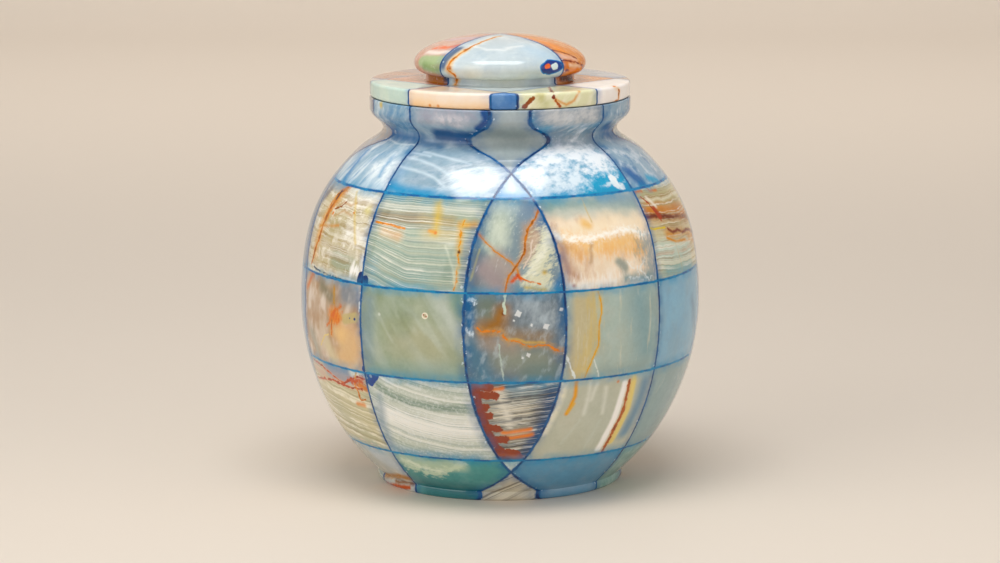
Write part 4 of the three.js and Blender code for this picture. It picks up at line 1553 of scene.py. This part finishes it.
# %% Stones of the lower course, left side
@on_ground("#C8C2A4")
def lower_side_front_left_far(rock):
    """Violet grey above a net of red-brown veins, then fine beige layers."""
    violet = [(328, 366), (348, 374)]
    cream_top = [(353, 373), (361, 375)]
    net_long = [(314, 359), (322, 365), (331, 373), (338, 380), (344, 383)]
    net_low = [(318, 377), (328, 379), (336, 381), (344, 384), (352, 388), (362, 389)]
    net_right = [(344, 383), (350, 379), (357, 377), (364, 379)]
    net_down = [(355, 384), (358, 392), (361, 400), (366, 400)]
    brown_line = [(356, 371), (355, 378)]
    red_patch = [(352, 381), (362, 380)]
    amber_patch = [(360, 387), (367, 389)]
    rust_low = [(358, 403), (364, 405)]
    pink_left = [(316, 366), (324, 374)]
    pink_line = [(348, 434), (362, 439), (380, 446)]
    olive_low = [(340, 410), (372, 440)]
    height = rock.stack((0.2, 0, 1), 4.0, 12)
    rock.layers(height, 3.6, "#DDD6BA", 0.46, 0.62, 0.8)
    rock.stain(olive_low, "#B9B89E", 8, 9, 0.75)
    rock.layers(height, 2.2, "#A39E80", 0.54, 0.68, 0.5, seed=5)
    rock.lines(height, 4.4, "#F6F2E4", 0.05, 0.7, seed=23, fade=10)
    rock.stain(violet, "#A3A0A8", 7, 3, 0.95, rough=3)
    rock.stain(pink_left, "#CDB0A2", 3, 3, 0.8)
    rock.stain(cream_top, "#F0EADA", 3, 2, 0.9)
    rock.feather(red_patch, "#C8602E", 2.2, (1, 0, -0.4), 1.4, 0.9, size=1.4, longer=3)
    rock.stain(amber_patch, "#D8882E", 2.0, 1.5, 0.9, rough=4)
    rock.vein(net_long, "#CF6E38", 0.9, halo="#DDB096", halo_reach=2.2)
    rock.vein(net_low, "#BE5A30", 1.3, halo="#DDB096", halo_reach=2.5, rough=3.5)
    rock.vein(net_right, "#C05A32", 1.0)
    rock.vein(net_down, "#DC9654", 0.9)
    rock.vein(brown_line, "#DDAE66", 0.8)
    rock.stain(rust_low, "#DC9048", 1.4, 1.4, 0.8, rough=3)
    rock.vein(pink_line, "#EAD2BC", 0.6)


@on_ground("#C9CFC4")
def lower_side_front_left_near(rock):
    """White and sage stripes that bend down to the left like a wave."""
    centre = seen_at(474, 400) + (0, 0, 140)
    blue_left = [(379, 396), (384, 425), (394, 446)]
    blue_foot = [(400, 450), (430, 455), (478, 459)]
    sage_band = [(376, 384), (392, 396), (412, 403), (440, 408), (466, 408)]
    sage_top = [(396, 378), (430, 386), (462, 390)]
    white_top = [(384, 374), (420, 376), (462, 378)]
    white_band = [(392, 416), (420, 426), (470, 430)]
    resin_chip = [(369, 374), (375, 375), (370, 382)]
    chip_light = [(371, 376)]
    height = rock.stack(wave=3.0, wave_size=22, centre=centre)
    rock.layers(height, 6.0, "#B4BEB0", 0.46, 0.62, 0.7)
    rock.stain(white_band, "#F2F1EC", 7, 6, 0.9, rough=3)
    rock.stain(white_top, "#E2E4DE", 1.6, 2.0, 0.85, rough=2)
    rock.stain(sage_band, "#8A9C8E", 2.4, 2.0, 0.88, rough=2)
    rock.stain(sage_top, "#9DADA2", 2.6, 2.5, 0.8, rough=2)
    rock.layers(height, 3.4, "#F0F0EA", 0.54, 0.66, 0.6, seed=3)
    rock.layers(height, 2.2, "#A2B0AA", 0.58, 0.7, 0.45, seed=13)
    rock.lines(height, 2.4, "#F8F8F4", 0.06, 0.5, seed=29)
    rock.lines(height, 1.4, "#8FA09C", 0.05, 0.35, seed=61)
    rock.stain(blue_foot, "#8CA8B6", 3, 6, 0.88, rough=3)
    rock.fog("#EEF2F2", 1.6, 0.5, 0.62, 0.3)
    rock.stain(blue_left, "#8B9EAC", 2, 4, 0.7, rough=2)
    rock.patch(resin_chip, "#174A94", 2.6, rough=2)
    rock.patch(chip_light, "#9AA8BA", 0.9, rough=1.5)


# %% Stones of the lower course, front corner and right side
@on_ground("#9C9A8E")
def lower_corner_front(rock):
    """Russet jasper on the left and at the foot, against streaks of cream, grey and blue."""
    russet_steps = [[(469, 385), (490, 387)], [(472, 395), (495, 396)], [(476, 406), (485, 408)],
                    [(478, 414), (489, 416)], [(482, 427), (497, 429)], [(486, 438), (506, 440)],
                    [(494, 451), (516, 453)]]
    russet_edge = [(468, 388), (472, 405), (479, 425), (488, 445), (498, 457), (512, 459)]
    amber_foot = [(498, 455), (524, 457)]
    orange_streaks = [[(503, 433), (530, 429)], [(508, 438), (532, 434)], [(486, 390), (502, 388)]]
    dark_right = [(553, 396), (548, 420), (538, 440)]
    dark_foot = [(530, 446), (522, 456)]
    blue_top = [(515, 390), (550, 388)]
    cream = [(500, 412), (520, 408)]
    cream_streaks = [(500, 396), (506, 412), (510, 424)]
    grey_streaks = [[(484, 406), (510, 401)], [(486, 424), (520, 419)]]
    across = (1, 0, -0.12)
    height = rock.stack((-0.12, 0, 1), 2.0, 14)
    rock.layers(height, 3.2, "#D2CAB4", 0.48, 0.64, 0.85)
    rock.layers(height, 2.4, "#74828C", 0.52, 0.68, 0.7, seed=9)
    rock.stain(blue_top, "#93A8B2", 5, 5, 0.75)
    rock.feather(cream, "#DCD6C6", 3, across, 4, 0.7, size=1.6)
    rock.stain(dark_right, "#264A74", 6, 6, 0.92)
    rock.stain(dark_foot, "#34507C", 3, 4, 0.8)
    rock.lines(height, 2.6, "#F0EEE6", 0.07, 0.85, seed=27, fade=3)
    rock.lines(height, 1.8, "#3E4044", 0.08, 0.75, seed=47, fade=4)
    rock.feather(cream_streaks, "#E8E4D8", 2.4, across, 2, 0.85, size=1.2, longer=10)
    for streak in grey_streaks:
        rock.stain(streak, "#5F6468", 0.7, 0.8, 0.7, rough=2)
    for streak in orange_streaks:
        rock.stain(streak, "#EA9450", 1.2, 1.2, 0.95, rough=2)
    rock.patch(russet_edge, "#94492A", 5.8, rough=4, grain=4, soft=0.5)
    for step in russet_steps:
        rock.patch(step, "#9C4C28", 2.5, rough=5, grain=2.4, soft=0.4)
    rock.feather(russet_edge, "#6A2C14", 1.6, across, 1.6, 0.85, size=1.0, longer=8)
    rock.stain(amber_foot, "#C06A24", 1.2, 1.6, 0.8, rough=4)


@on_ground("#C4C6B6")
def lower_side_front_right_near(rock):
    """Sage-grey onyx with a cream band, and a strong brown vein with white and yellow margins."""
    cream_band = [(563, 382), (560, 396), (551, 416), (543, 432)]
    orange_streak = [(577, 382), (575, 396), (570, 408), (566, 414)]
    yellow_streak = [(574, 404), (568, 412)]
    white_streaks = [[(590, 384), (588, 398), (584, 414)], [(597, 384), (592, 400)], [(606, 388), (602, 412)]]
    brown_vein = [(630, 380), (627, 395), (623, 410), (618, 422), (612, 432), (606, 444), (601, 453)]
    white_margin = [(625, 383), (621, 400), (614, 418), (606, 434), (598, 448)]
    yellow_margin = [(634, 378), (631, 392), (627, 408), (621, 423), (611, 441)]
    blue_right = [(645, 382), (638, 404), (624, 432)]
    beige = [(600, 410), (598, 432)]
    top_orange = [(618, 381)]
    slants = [[(580, 420), (560, 444)], [(600, 420), (584, 448)]]
    rock.fog("#C8C8B8", 12, 0.42, 0.68, 0.8, along=(0.3, 0, 1), longer=3)
    rock.stain(beige, "#C2C6B8", 10, 8, 0.7)
    rock.stain(blue_right, "#7898AE", 4, 4, 0.9, rough=2)
    rock.stain(cream_band, "#F4EFDA", 3.0, 1.8, 0.97, rough=1.5)
    for streak in white_streaks:
        rock.stain(streak, "#E6E7DE", 0.9, 2.0, 0.75, rough=2.5)
    for streak in slants:
        rock.stain(streak, "#CED4CA", 0.5, 1.4, 0.5, rough=2)
    rock.stain(orange_streak, "#E8AC44", 1.1, 1.0, 0.97, rough=1.2)
    rock.stain(yellow_streak, "#E8BC62", 0.9, 0.9, 0.9, rough=1)
    rock.stain(yellow_margin, "#EAD690", 2.2, 1.2, 0.95, rough=1.2)
    rock.stain(white_margin, "#FBF9F4", 2.2, 1.2, 0.97, rough=1.2)
    rock.vein(brown_vein, "#BC6A30", 1.9, halo="#E2B272", halo_reach=3.0, rough=1.8)
    rock.stain(top_orange, "#E29650", 0.9, 0.8, 0.9, rough=1)


@on_ground("#9DB0B0")
def lower_side_front_right_far(rock):
    """Grey-green onyx, nearly clear."""
    rock.fog("#9BB0B2", 14, 0.42, 0.7, 0.8, along=(0.6, 0, 0.5), longer=3)
    rock.fog("#B6C4C2", 6, 0.58, 0.72, 0.5, along=(0.6, 0, 0.5), longer=4)


print(len(SHOWN), "looks so far")

# %% [markdown]
# The foot course is a low band of pale, calm stones. Little of each shows, so fog and a few soft
# stains are enough for most of them.

# %% Stones of the foot course
@on_ground("#C3C6C0")
def foot_side_front_left_far(rock):
    """Pale grey-blue with gold-brown layers and a russet flame."""
    gold = [(386, 474), (400, 476), (414, 479)]
    gold_low = [(396, 481), (414, 484)]
    flame = [(388, 484), (398, 486), (409, 488)]
    brown_left = [(379, 470), (383, 482)]
    pale = [(376, 454), (396, 466)]
    rock.fog("#D9D6CC", 6, 0.45, 0.66, 0.8, along=(1, 0, -0.4), longer=3)
    rock.stain(pale, "#C6CED4", 6, 4, 0.8)
    rock.stain(brown_left, "#9A8478", 2.5, 3, 0.85)
    rock.stain(gold, "#C08C3C", 2.2, 1.6, 0.95, rough=3, grain=5)
    rock.stain(gold_low, "#8E5E2E", 1.2, 1.2, 0.9, rough=3, grain=5)
    rock.stain(flame, "#C4602A", 1.4, 1.0, 0.95, rough=3, grain=4)
    rock.hairs((1, 0, 0.15), 0.5)


@on_ground("#62A09E")
def foot_side_front_left_near(rock):
    """Teal onyx with a ragged patch of cream green."""
    patch = [(398, 456), (416, 462), (436, 466), (458, 465)]
    patch_low = [(408, 466), (424, 472), (438, 474), (452, 468), (460, 463)]
    bright = [(404, 460), (424, 467), (440, 471)]
    dark = [(430, 486), (470, 492)]
    rock.fog("#7FAFAE", 12, 0.42, 0.68, 0.7)
    rock.stain(dark, "#34747C", 7, 7, 0.8)
    rock.stain(patch, "#C2D0B8", 5.5, 3.0, 0.88, rough=6)
    rock.feather(patch_low, "#D2DEC8", 2.4, (1, 0, 0.5), 1.2, 0.9, size=2.6, longer=2)
    rock.feather(bright, "#EEF2E2", 1.4, (1, 0, 0.3), 1.6, 0.8, size=2.4, longer=2)


@on_ground("#DCE8DC")
def foot_corner_front(rock):
    """White-green tip with a dark blue edge."""
    rock.fog("#E6EEE2", 5, 0.4, 0.7, 0.8)


@on_ground("#D2CCBC")
def foot_inner_front(rock):
    """Beige and grey slanting stripes."""
    streak = [(476, 490), (500, 486)]
    height = rock.stack((-0.5, 0, 1), 1.5, 10)
    rock.layers(height, 3.0, "#E2DCCB", 0.46, 0.6, 0.9)
    rock.layers(height, 2.4, "#8A8272", 0.54, 0.64, 0.8, seed=5)
    rock.stain(streak, "#E6EADC", 1.4, 1.4, 0.8, rough=2)


@on_ground("#74A4C0")
def foot_side_front_right_near(rock):
    """Blue onyx with fine streaks low down."""
    low = [(550, 490), (590, 484)]
    rock.fog("#83A6BC", 14, 0.42, 0.68, 0.7)
    rock.stain(low, "#9CB6C6", 3, 4, 0.6)


@on_ground("#8FAFA9")
def foot_side_front_right_far(rock):
    """Pale green-blue onyx."""
    rock.fog("#B2C8C2", 9, 0.42, 0.68, 0.8)


print(len(SHOWN), "looks so far")

# %% [markdown]
# The lid's disc has the palest stones and its knob the brightest. Only the rim of each disc stone
# shows, so it gets a few marks. The chip in the knob that is filled with resin is drawn as
# patches inside one another.

# %% Stones of the lid's disc
@on_ground("#CBDDD4")
def lid_side_front_left_far(rock):
    """Mint onyx."""
    rock.fog("#DDE8DA", 14, 0.4, 0.7, 0.8)


@on_ground("#F8E2C8")
def lid_side_front_left_near(rock):
    """Peach onyx, more orange at its lower edge."""
    orange_foot = [(412, 104), (440, 107), (486, 108.5)]
    cream_top = [(420, 90), (450, 93), (486, 94)]
    specks = [[(430, 106)], [(438, 106.5)]]
    rock.fog("#FBEDE0", 12, 0.42, 0.68, 0.7)
    rock.stain(cream_top, "#F8ECE2", 4, 5, 0.8)
    rock.stain(orange_foot, "#F7CB94", 1.2, 3.6, 0.85, rough=1.5)
    for speck in specks:
        rock.stain(speck, "#E0862E", 0.7, 0.7, 0.8, rough=1)


@on_ground("#6890C0")
def lid_corner_front(rock):
    """Small dark blue stone between the two pale ones."""
    rock.fog("#86A8CC", 8, 0.42, 0.66, 0.8)


@on_ground("#E8E6C4")
def lid_side_front_right_near(rock):
    """Yellow-green onyx with feathery cream, an orange flame and a dark knot."""
    flame = [(524, 107), (529, 102), (533, 98)]
    knot = [(552, 92), (554, 98)]
    knot_line = [(548, 84), (552, 92), (555, 100), (560, 106)]
    loop = [(556, 100), (566, 105), (574, 100), (579, 91)]
    green = [(540, 98), (546, 104)]
    rock.fog("#F4F0DA", 5, 0.44, 0.64, 0.85, along=(1, 0, 0.8), longer=4)
    rock.fog("#D8CC94", 7, 0.55, 0.7, 0.5, along=(1, 0, 0.8), longer=3)
    rock.stain(green, "#B8B87A", 2, 4, 0.6)
    rock.stain(loop, "#E2A050", 0.6, 1.0, 0.9, rough=2)
    rock.patch(flame, "#A05A1E", 1.1, rough=3, grain=2)
    rock.vein(knot_line, "#B8621E", 1.3, halo="#ECC890", halo_reach=2.4)
    rock.patch(knot, "#8A3C14", 1.1, rough=2.4, grain=2)


@on_ground("#FBF4EE")
def lid_side_front_right_far(rock):
    """White and pink onyx with an orange loop."""
    loop = [(613, 86), (619, 90), (618, 100), (612, 105)]
    rock.fog("#FFFAF4", 9, 0.42, 0.66, 0.8)
    rock.fog("#F4DCC8", 8, 0.56, 0.7, 0.5)
    rock.stain(loop, "#F0C890", 1.0, 2.0, 0.8, rough=2)
    rock.vein(loop, "#DC8A30", 1.6)


# %% Stones of the knob
@on_ground("#C9D3D6")
def lid_inner_front(rock):
    """Pearly knob front with an orange vein on its left, and a painted highlight line across its dome."""
    vein = [(500, 36), (480, 43), (465, 51), (452, 60), (448, 67), (447, 70), (455, 75), (458, 79), (455, 84)]
    vein_glow = [(466, 50), (450, 62), (449, 70)]
    smoke = [(459, 49), (448, 57), (443, 65)]
    knots = [[(466, 50)], [(449, 68)]]
    brown_waist = [(449, 72), (456, 79), (456, 85)]
    warm_foot = [(470, 77), (520, 79)]
    grey_foot = [(456, 86), (540, 86)]
    blue_right = [(530, 48), (552, 60)]
    highlight_line = [(472, 46), (486, 50), (504, 50), (522, 46)]
    pocket = [(545, 69), (551, 64), (559, 66), (550, 70)]
    pocket_orange = [(546.5, 67), (549, 65.5)]
    pocket_white = [(554, 67), (556, 65.5)]
    rock.fog("#E2E9E9", 14, 0.42, 0.7, 0.8)
    rock.fog("#BCCAD2", 10, 0.52, 0.7, 0.6)
    rock.stain(blue_right, "#BFD3DE", 6, 7, 0.8)
    rock.stain(warm_foot, "#DEDCCC", 4, 5, 0.8)
    rock.stain(grey_foot, "#B4BCC0", 3, 4, 0.8)
    rock.stain(smoke, "#66778C", 2.8, 1.8, 0.95, rough=2)
    # painted highlight: a thin white line across the dome where the overhead softbox reflects
    rock.stain(highlight_line, "#FAFAF6", 0.6, 2.2, 0.75, rough=4)
    rock.stain(vein_glow, "#EBC68C", 1.6, 2.2, 0.85, rough=3)
    rock.stain(brown_waist, "#A0703A", 1.0, 2.2, 0.85, rough=3)
    rock.vein(vein, "#D88A28", 1.2, halo="#EAC890", halo_reach=3.0, rough=3)
    for knot in knots:
        rock.stain(knot, "#B46818", 1.1, 0.8, 0.9, rough=2)
    rock.patch(pocket, "#0A86C8", 3.2, rough=1.6)
    rock.patch(pocket, "#083A88", 2.6, rough=1.6)
    rock.patch(pocket_orange, "#E4702E", 1.3, rough=1.5)
    rock.patch(pocket_white, "#D8E4E4", 1.7, rough=2.0)


@on_ground("#D2A894")
def lid_inner_left(rock):
    """Mauve, coral and green bands of the knob's left."""
    coral = [(436, 48), (448, 48), (460, 45)]
    white = [(428, 52), (438, 53), (450, 52)]
    green = [(421, 61), (432, 60), (446, 60)]
    green_low = [(424, 67), (444, 70)]
    amber_waist = [(430, 78), (446, 81)]
    dark_waist = [(446, 78), (452, 80)]
    disc_top_and_reflection = [(392, 80), (420, 80)]
    mauve = [(450, 40), (470, 38)]
    tan = [(432, 44), (446, 42)]
    rock.fog("#E4CBC4", 10, 0.42, 0.68, 0.6)
    rock.stain(mauve, "#D0B6BC", 4, 4, 0.85)
    rock.stain(tan, "#DDB49C", 2, 2, 0.7)
    rock.stain(white, "#F2E6DC", 1.8, 1.6, 0.95, rough=2)
    rock.stain(green, "#B4C49A", 3.4, 1.6, 0.95, rough=2)
    rock.stain(green_low, "#94AC78", 2.4, 2.2, 0.9, rough=2)
    rock.feather(coral, "#EE8A66", 1.4, (1, 0, -0.1), 1.0, 0.95, size=1.6, longer=4)
    rock.stain(amber_waist, "#B06E14", 3.6, 2.4, 0.97, rough=3)
    rock.stain(dark_waist, "#3E220C", 2.0, 1.6, 0.95, rough=2)
    # deeper peach on the disc top beside the knob: partly the stone, partly a painted reflection of the
    # knob's amber waist
    rock.stain(disc_top_and_reflection, "#C98A62", 5, 4, 0.8)
    rock.hairs((1, 0, 0), 0.4)


@on_ground("#DE9C60")
def lid_inner_right(rock):
    """Peach and orange marble of the knob's right."""
    orange = [(524, 38), (546, 43), (560, 50)]
    orange_low = [(566, 66), (578, 70)]
    brown_lines = [[(552, 50), (564, 53), (576, 58)], [(562, 60), (574, 62), (583, 66)],
                   [(566, 70), (582, 72)]]
    dark_waist = [(562, 78), (572, 80)]
    waist = [(566, 76), (584, 80)]
    pink = [(562, 56), (576, 60)]
    pale = [(570, 64), (580, 66)]
    rock.fog("#F2CCA6", 8, 0.46, 0.66, 0.6)
    rock.fog("#D47C2E", 5, 0.48, 0.62, 0.8, along=(1, 0, -0.4), longer=5)
    rock.stain(orange, "#F0A050", 3, 3, 0.9, rough=3)
    rock.stain(orange_low, "#E08A3C", 2.6, 2.4, 0.9, rough=3)
    rock.stain(pink, "#E6C4B4", 2.0, 2.4, 0.8, rough=3)
    rock.stain(pale, "#F2DCC4", 1.0, 1.4, 0.8, rough=3)
    for line in brown_lines:
        rock.vein(line, "#8E3E14", 0.9, halo="#C8783A", halo_reach=2)
    rock.stain(waist, "#B0622A", 3.2, 2.4, 0.95, rough=3)
    rock.stain(dark_waist, "#5E280E", 2.2, 1.8, 0.95, rough=2)
    rock.hairs((1, 0, -0.4), 0.4)


print("the photograph shows", len(SHOWN), "stones")

# %% [markdown]
# The photograph hides the back and the inside of the urn. A stone there could be a copy of one
# at the front, but then it would have a twin, so the hidden stones take turns at three plain
# looks, with the greys, sages and creams of their course.

# %% Stones that the photograph hides
def clear_stone(rock, light, dark):
    """Nearly even, with slow clouds."""
    rock.fog(light, 20, 0.4, 0.68, 0.75)
    rock.fog(dark, 15, 0.55, 0.75, 0.5)


def banded_stone(rock, light, dark):
    """Fine layers that lean a little."""
    height = rock.stack((0.2, -0.1, 1), 4, 18)
    rock.fog(light, 16, 0.42, 0.68, 0.6)
    rock.layers(height, 5.0, light, 0.46, 0.62, 0.7)
    rock.layers(height, 3.0, dark, 0.54, 0.7, 0.4, seed=4)
    rock.lines(height, 4.2, "#F2EFE2", 0.05, 0.7, seed=17, fade=14)


def veined_stone(rock, light, dark):
    """Clouded, with a few orange-brown cracks."""
    rock.fog(light, 14, 0.44, 0.68, 0.8)
    rock.fog("#F1EADB", 7, 0.54, 0.7, 0.5)
    rock.cracks("#DDB080", 55, 0.03, 0.6)
    rock.cracks(dark, 55, 0.007, 0.9)


# %% Which stone has which look
HIDDEN = {
    "foot": ["#7FA0A0", "#A9B8B4", "#BFB8A4"],
    "lower": ["#B8BEB0", "#9DB0B4", "#C9C2A8"],
    "middle": ["#A5AE9C", "#93A8B8", "#B8A68E"],
    "upper": ["#B9C0AC", "#D6CCB4", "#9FB0C2"],
    "shoulder": ["#A3B8C4", "#8FB4CC", "#BAC4C8"],
    "lid": ["#E2CDB4", "#C2C4C8", "#D9C0A4"],
}
HIDDEN_LOOKS = [(clear_stone, "#C9D0CC", "#8496A0"), (banded_stone, "#DDD8C4", "#8F9C90"),
                (veined_stone, "#D2D4CA", "#B8662A")]
PLAIN = {
    "upper_corner_left": "#6C8096", "middle_corner_left": "#9AACBD", "lower_corner_left": "#94A5B3",
    "upper_corner_right": "#A3AFB6", "middle_corner_right": "#8C9EB0", "lower_corner_right": "#94A6AC",
    "shoulder_corner_left": "#A9BCCB", "shoulder_corner_right": "#A5B4C0",
    "lid_side_back_left_far": "#C9A08A", "lid_side_back_left_near": "#CBA892",
    "lid_side_back_right_far": "#C2C4C8", "lid_side_back_right_near": "#C6C6C4",
}
PLAIN_CLOUDS = ("#94A2B0", "#62748A")
LID_EDGE_BLUE = ("#2A6CAC", 0.9, 0.7)
RESIN_SEED = 3


def stone_material(name, number):
    """Onyx, sawn, turned and polished: banded colour under a sharp reflection."""
    course = name.split("_")[0]
    title = f"polished onyx {name}"
    if name in SHOWN:
        look, ground = SHOWN[name]
        rock = Rock(title, ground, number)
        look(rock)
    elif name in PLAIN:
        rock = Rock(title, PLAIN[name], number)
        clear_stone(rock, *PLAIN_CLOUDS)
    else:
        turn, look_number = divmod(number, len(HIDDEN_LOOKS))
        look, light, dark = HIDDEN_LOOKS[look_number]
        rock = Rock(title, HIDDEN[course][turn % len(HIDDEN[course])], number)
        look(rock, light, dark)
    if course == "lid":
        rock.edges(KNOB_JOINTS if "inner" in name else LID_JOINTS, upright=LID_EDGE_BLUE)
    else:
        rock.edges(BODY_JOINTS)
    return rock.finish()


def resin_material(name, light, dark):
    """Cast resin, tinted, polished flush: deeper and paler along its length."""
    rock = Rock(name, light, RESIN_SEED)
    rock.fog(dark, 9, 0.42, 0.6, 0.95)
    rock.fog("#2FA0CC", 3, 0.6, 0.72, 0.4)
    return rock.finish(polish=0.05, glow=0.05)


print(len(PLAIN), "more stones are plain, and the others take turns at", len(HIDDEN_LOOKS), "looks")

# %% [markdown]
# Every stone now gets its look, rides on the urn's one body, and stands for its solid of the
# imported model. The stones at the back stand together for one solid.

# %% Dress the stones and the resin
def dress(piece, material, slot):
    """Gives a piece its one material and its body. The slot is not used."""
    piece.data.materials.clear()
    piece.data.materials.append(material)
    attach(piece, "root")


for number, (name, stone) in enumerate(sorted(stones.items())):
    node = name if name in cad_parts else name.split("_")[0] + "_rear_stones"
    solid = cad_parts[node]
    dress(stone, stone_material(name, number), solid.data.materials[0].name.split(".")[0])
    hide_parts(node)

upright_resin = resin_material("deep blue cast resin", "#00639C", "#003268")
level_resin = resin_material("sea blue cast resin", "#0890C0", "#04609C")
for piece in resin:
    level = piece.name.startswith("resin_level")
    dress(piece, level_resin if level else upright_resin, "blue_resin")
print("dressed", len(stones), "stones and", len(resin), "resin pieces")

# %% [markdown]
# The stage is plain: a pale floor that curves up far behind, warm soft light from all round, a
# level softbox above, which is the white patch on the shoulder, a wide window light from the
# left, which draws the shadow to the right, and a weak fill from the right. The wall is far
# enough behind that the urn can be looked at from the back too.

# %% Floor and light, in metres
FLOOR_HALF = 7.0
FLOOR_BACK = 2.5
FLOOR_BEND = 0.8
BEND_POINTS = 17
WALL_TOP = 3.5
PANEL_EVEN = 0.38


def plain_material(name, colour, rough):
    """An even matt surface."""
    material, tree = new_material(name)
    shader = add(tree, "BsdfPrincipled", {"Base Color": linear(colour), "Roughness": rough})
    add(tree, "OutputMaterial", {0: shader}, out=None)
    return material


def pale_floor():
    """A floor whose back edge curves up into a wall."""
    t = np.linspace(0, np.pi / 2, BEND_POINTS)
    y = np.concatenate([[-FLOOR_HALF], FLOOR_BACK + FLOOR_BEND * np.sin(t), [FLOOR_BACK + FLOOR_BEND]])
    z = np.concatenate([[0], FLOOR_BEND - FLOOR_BEND * np.cos(t), [WALL_TOP]])
    n = len(y)
    left = np.stack([np.full(n, -FLOOR_HALF), y, z], 1)
    right = left * (-1, 1, 1)
    faces = [(i, i + 1, n + i + 1, n + i) for i in range(n - 1)]
    mesh = bpy.data.meshes.new("floor")
    mesh.from_pydata(np.concatenate([left, right]).tolist(), [], faces)
    mesh.polygons.foreach_set("use_smooth", np.ones(n - 1, bool))
    mesh.materials.append(plain_material("pale floor", "#E8DCCD", 0.6))
    return placed("floor", mesh)


def soft_light(name, place, aim, size, power, colour="#FFFFFF"):
    """A rectangular soft light that looks at a point."""
    lamp = bpy.data.lights.new(name, "AREA")
    lamp.shape = "RECTANGLE"
    lamp.size, lamp.size_y = size
    lamp.energy = power
    lamp.color = linear(colour)[:3]
    made = placed(name, lamp)
    made.location = place
    away = np.array(place) - np.array(aim)
    away /= np.linalg.norm(away)
    made.rotation_euler = (math.acos(away[2]), 0, math.atan2(away[0], -away[1]))


def soft_panel(name, place, size, strength):
    """A level panel that shines down. It is even up to PANEL_EVEN of its size from its middle, and
    fades to its edges: the product of two eased ramps of its own coordinates."""
    material, tree = new_material(name)
    where = add(tree, "TexCoord", out=3)
    fade = None
    for axis, length in zip((0, 1), size):
        at = add(tree, "SeparateXYZ", {0: where}, out=axis)
        at = add(tree, "Math", {0: at}, operation="ABSOLUTE")
        inputs = {0: at, 1: length / 2, 2: length * PANEL_EVEN, 3: 0.0, 4: 1.0}
        ramp = add(tree, "MapRange", inputs, interpolation_type="SMOOTHSTEP")
        fade = ramp if fade is None else add(tree, "Math", {0: fade, 1: ramp}, operation="MULTIPLY")
    power = add(tree, "Math", {0: fade, 1: strength}, operation="MULTIPLY")
    shine = add(tree, "Emission", {"Color": linear("#FFFFFF"), "Strength": power})
    add(tree, "OutputMaterial", {0: shine}, out=None)
    x, y = size[0] / 2, size[1] / 2
    mesh = bpy.data.meshes.new(name)
    mesh.from_pydata([(-x, -y, 0), (-x, y, 0), (x, y, 0), (x, -y, 0)], [], [(0, 1, 2, 3)])
    mesh.materials.append(material)
    made = placed(name, mesh)
    made.location = place
    made.visible_camera = False
    return made


pale_floor()
soft_panel("overhead softbox", (-0.03, -0.34, 1.28), (1.0, 0.56), 6.4)
MIDDLE = (0, 0, 0.13)
soft_light("window light", (-1.9, -1.3, 1.2), MIDDLE, (2.2, 1.8), 20, "#FFFAF2")
soft_light("room fill", (2.2, -1.0, 0.9), MIDDLE, (1.8, 1.4), 7, "#FFF1E0")
soft_light("background light", (0, 1.5, 1.6), (0, 3.0, 0.4), (2.8, 0.8), 17, "#FFF8F0")
world = bpy.data.worlds.new("soft room")
bpy.context.scene.world = world
world.use_nodes = True
world.node_tree.nodes["Background"].inputs[0].default_value = linear("#EEF0F4")
world.node_tree.nodes["Background"].inputs[1].default_value = 0.55
bpy.context.scene.view_settings.view_transform = "Standard"
print("lit by", len(bpy.data.lights), "soft lights, a softbox and the room")
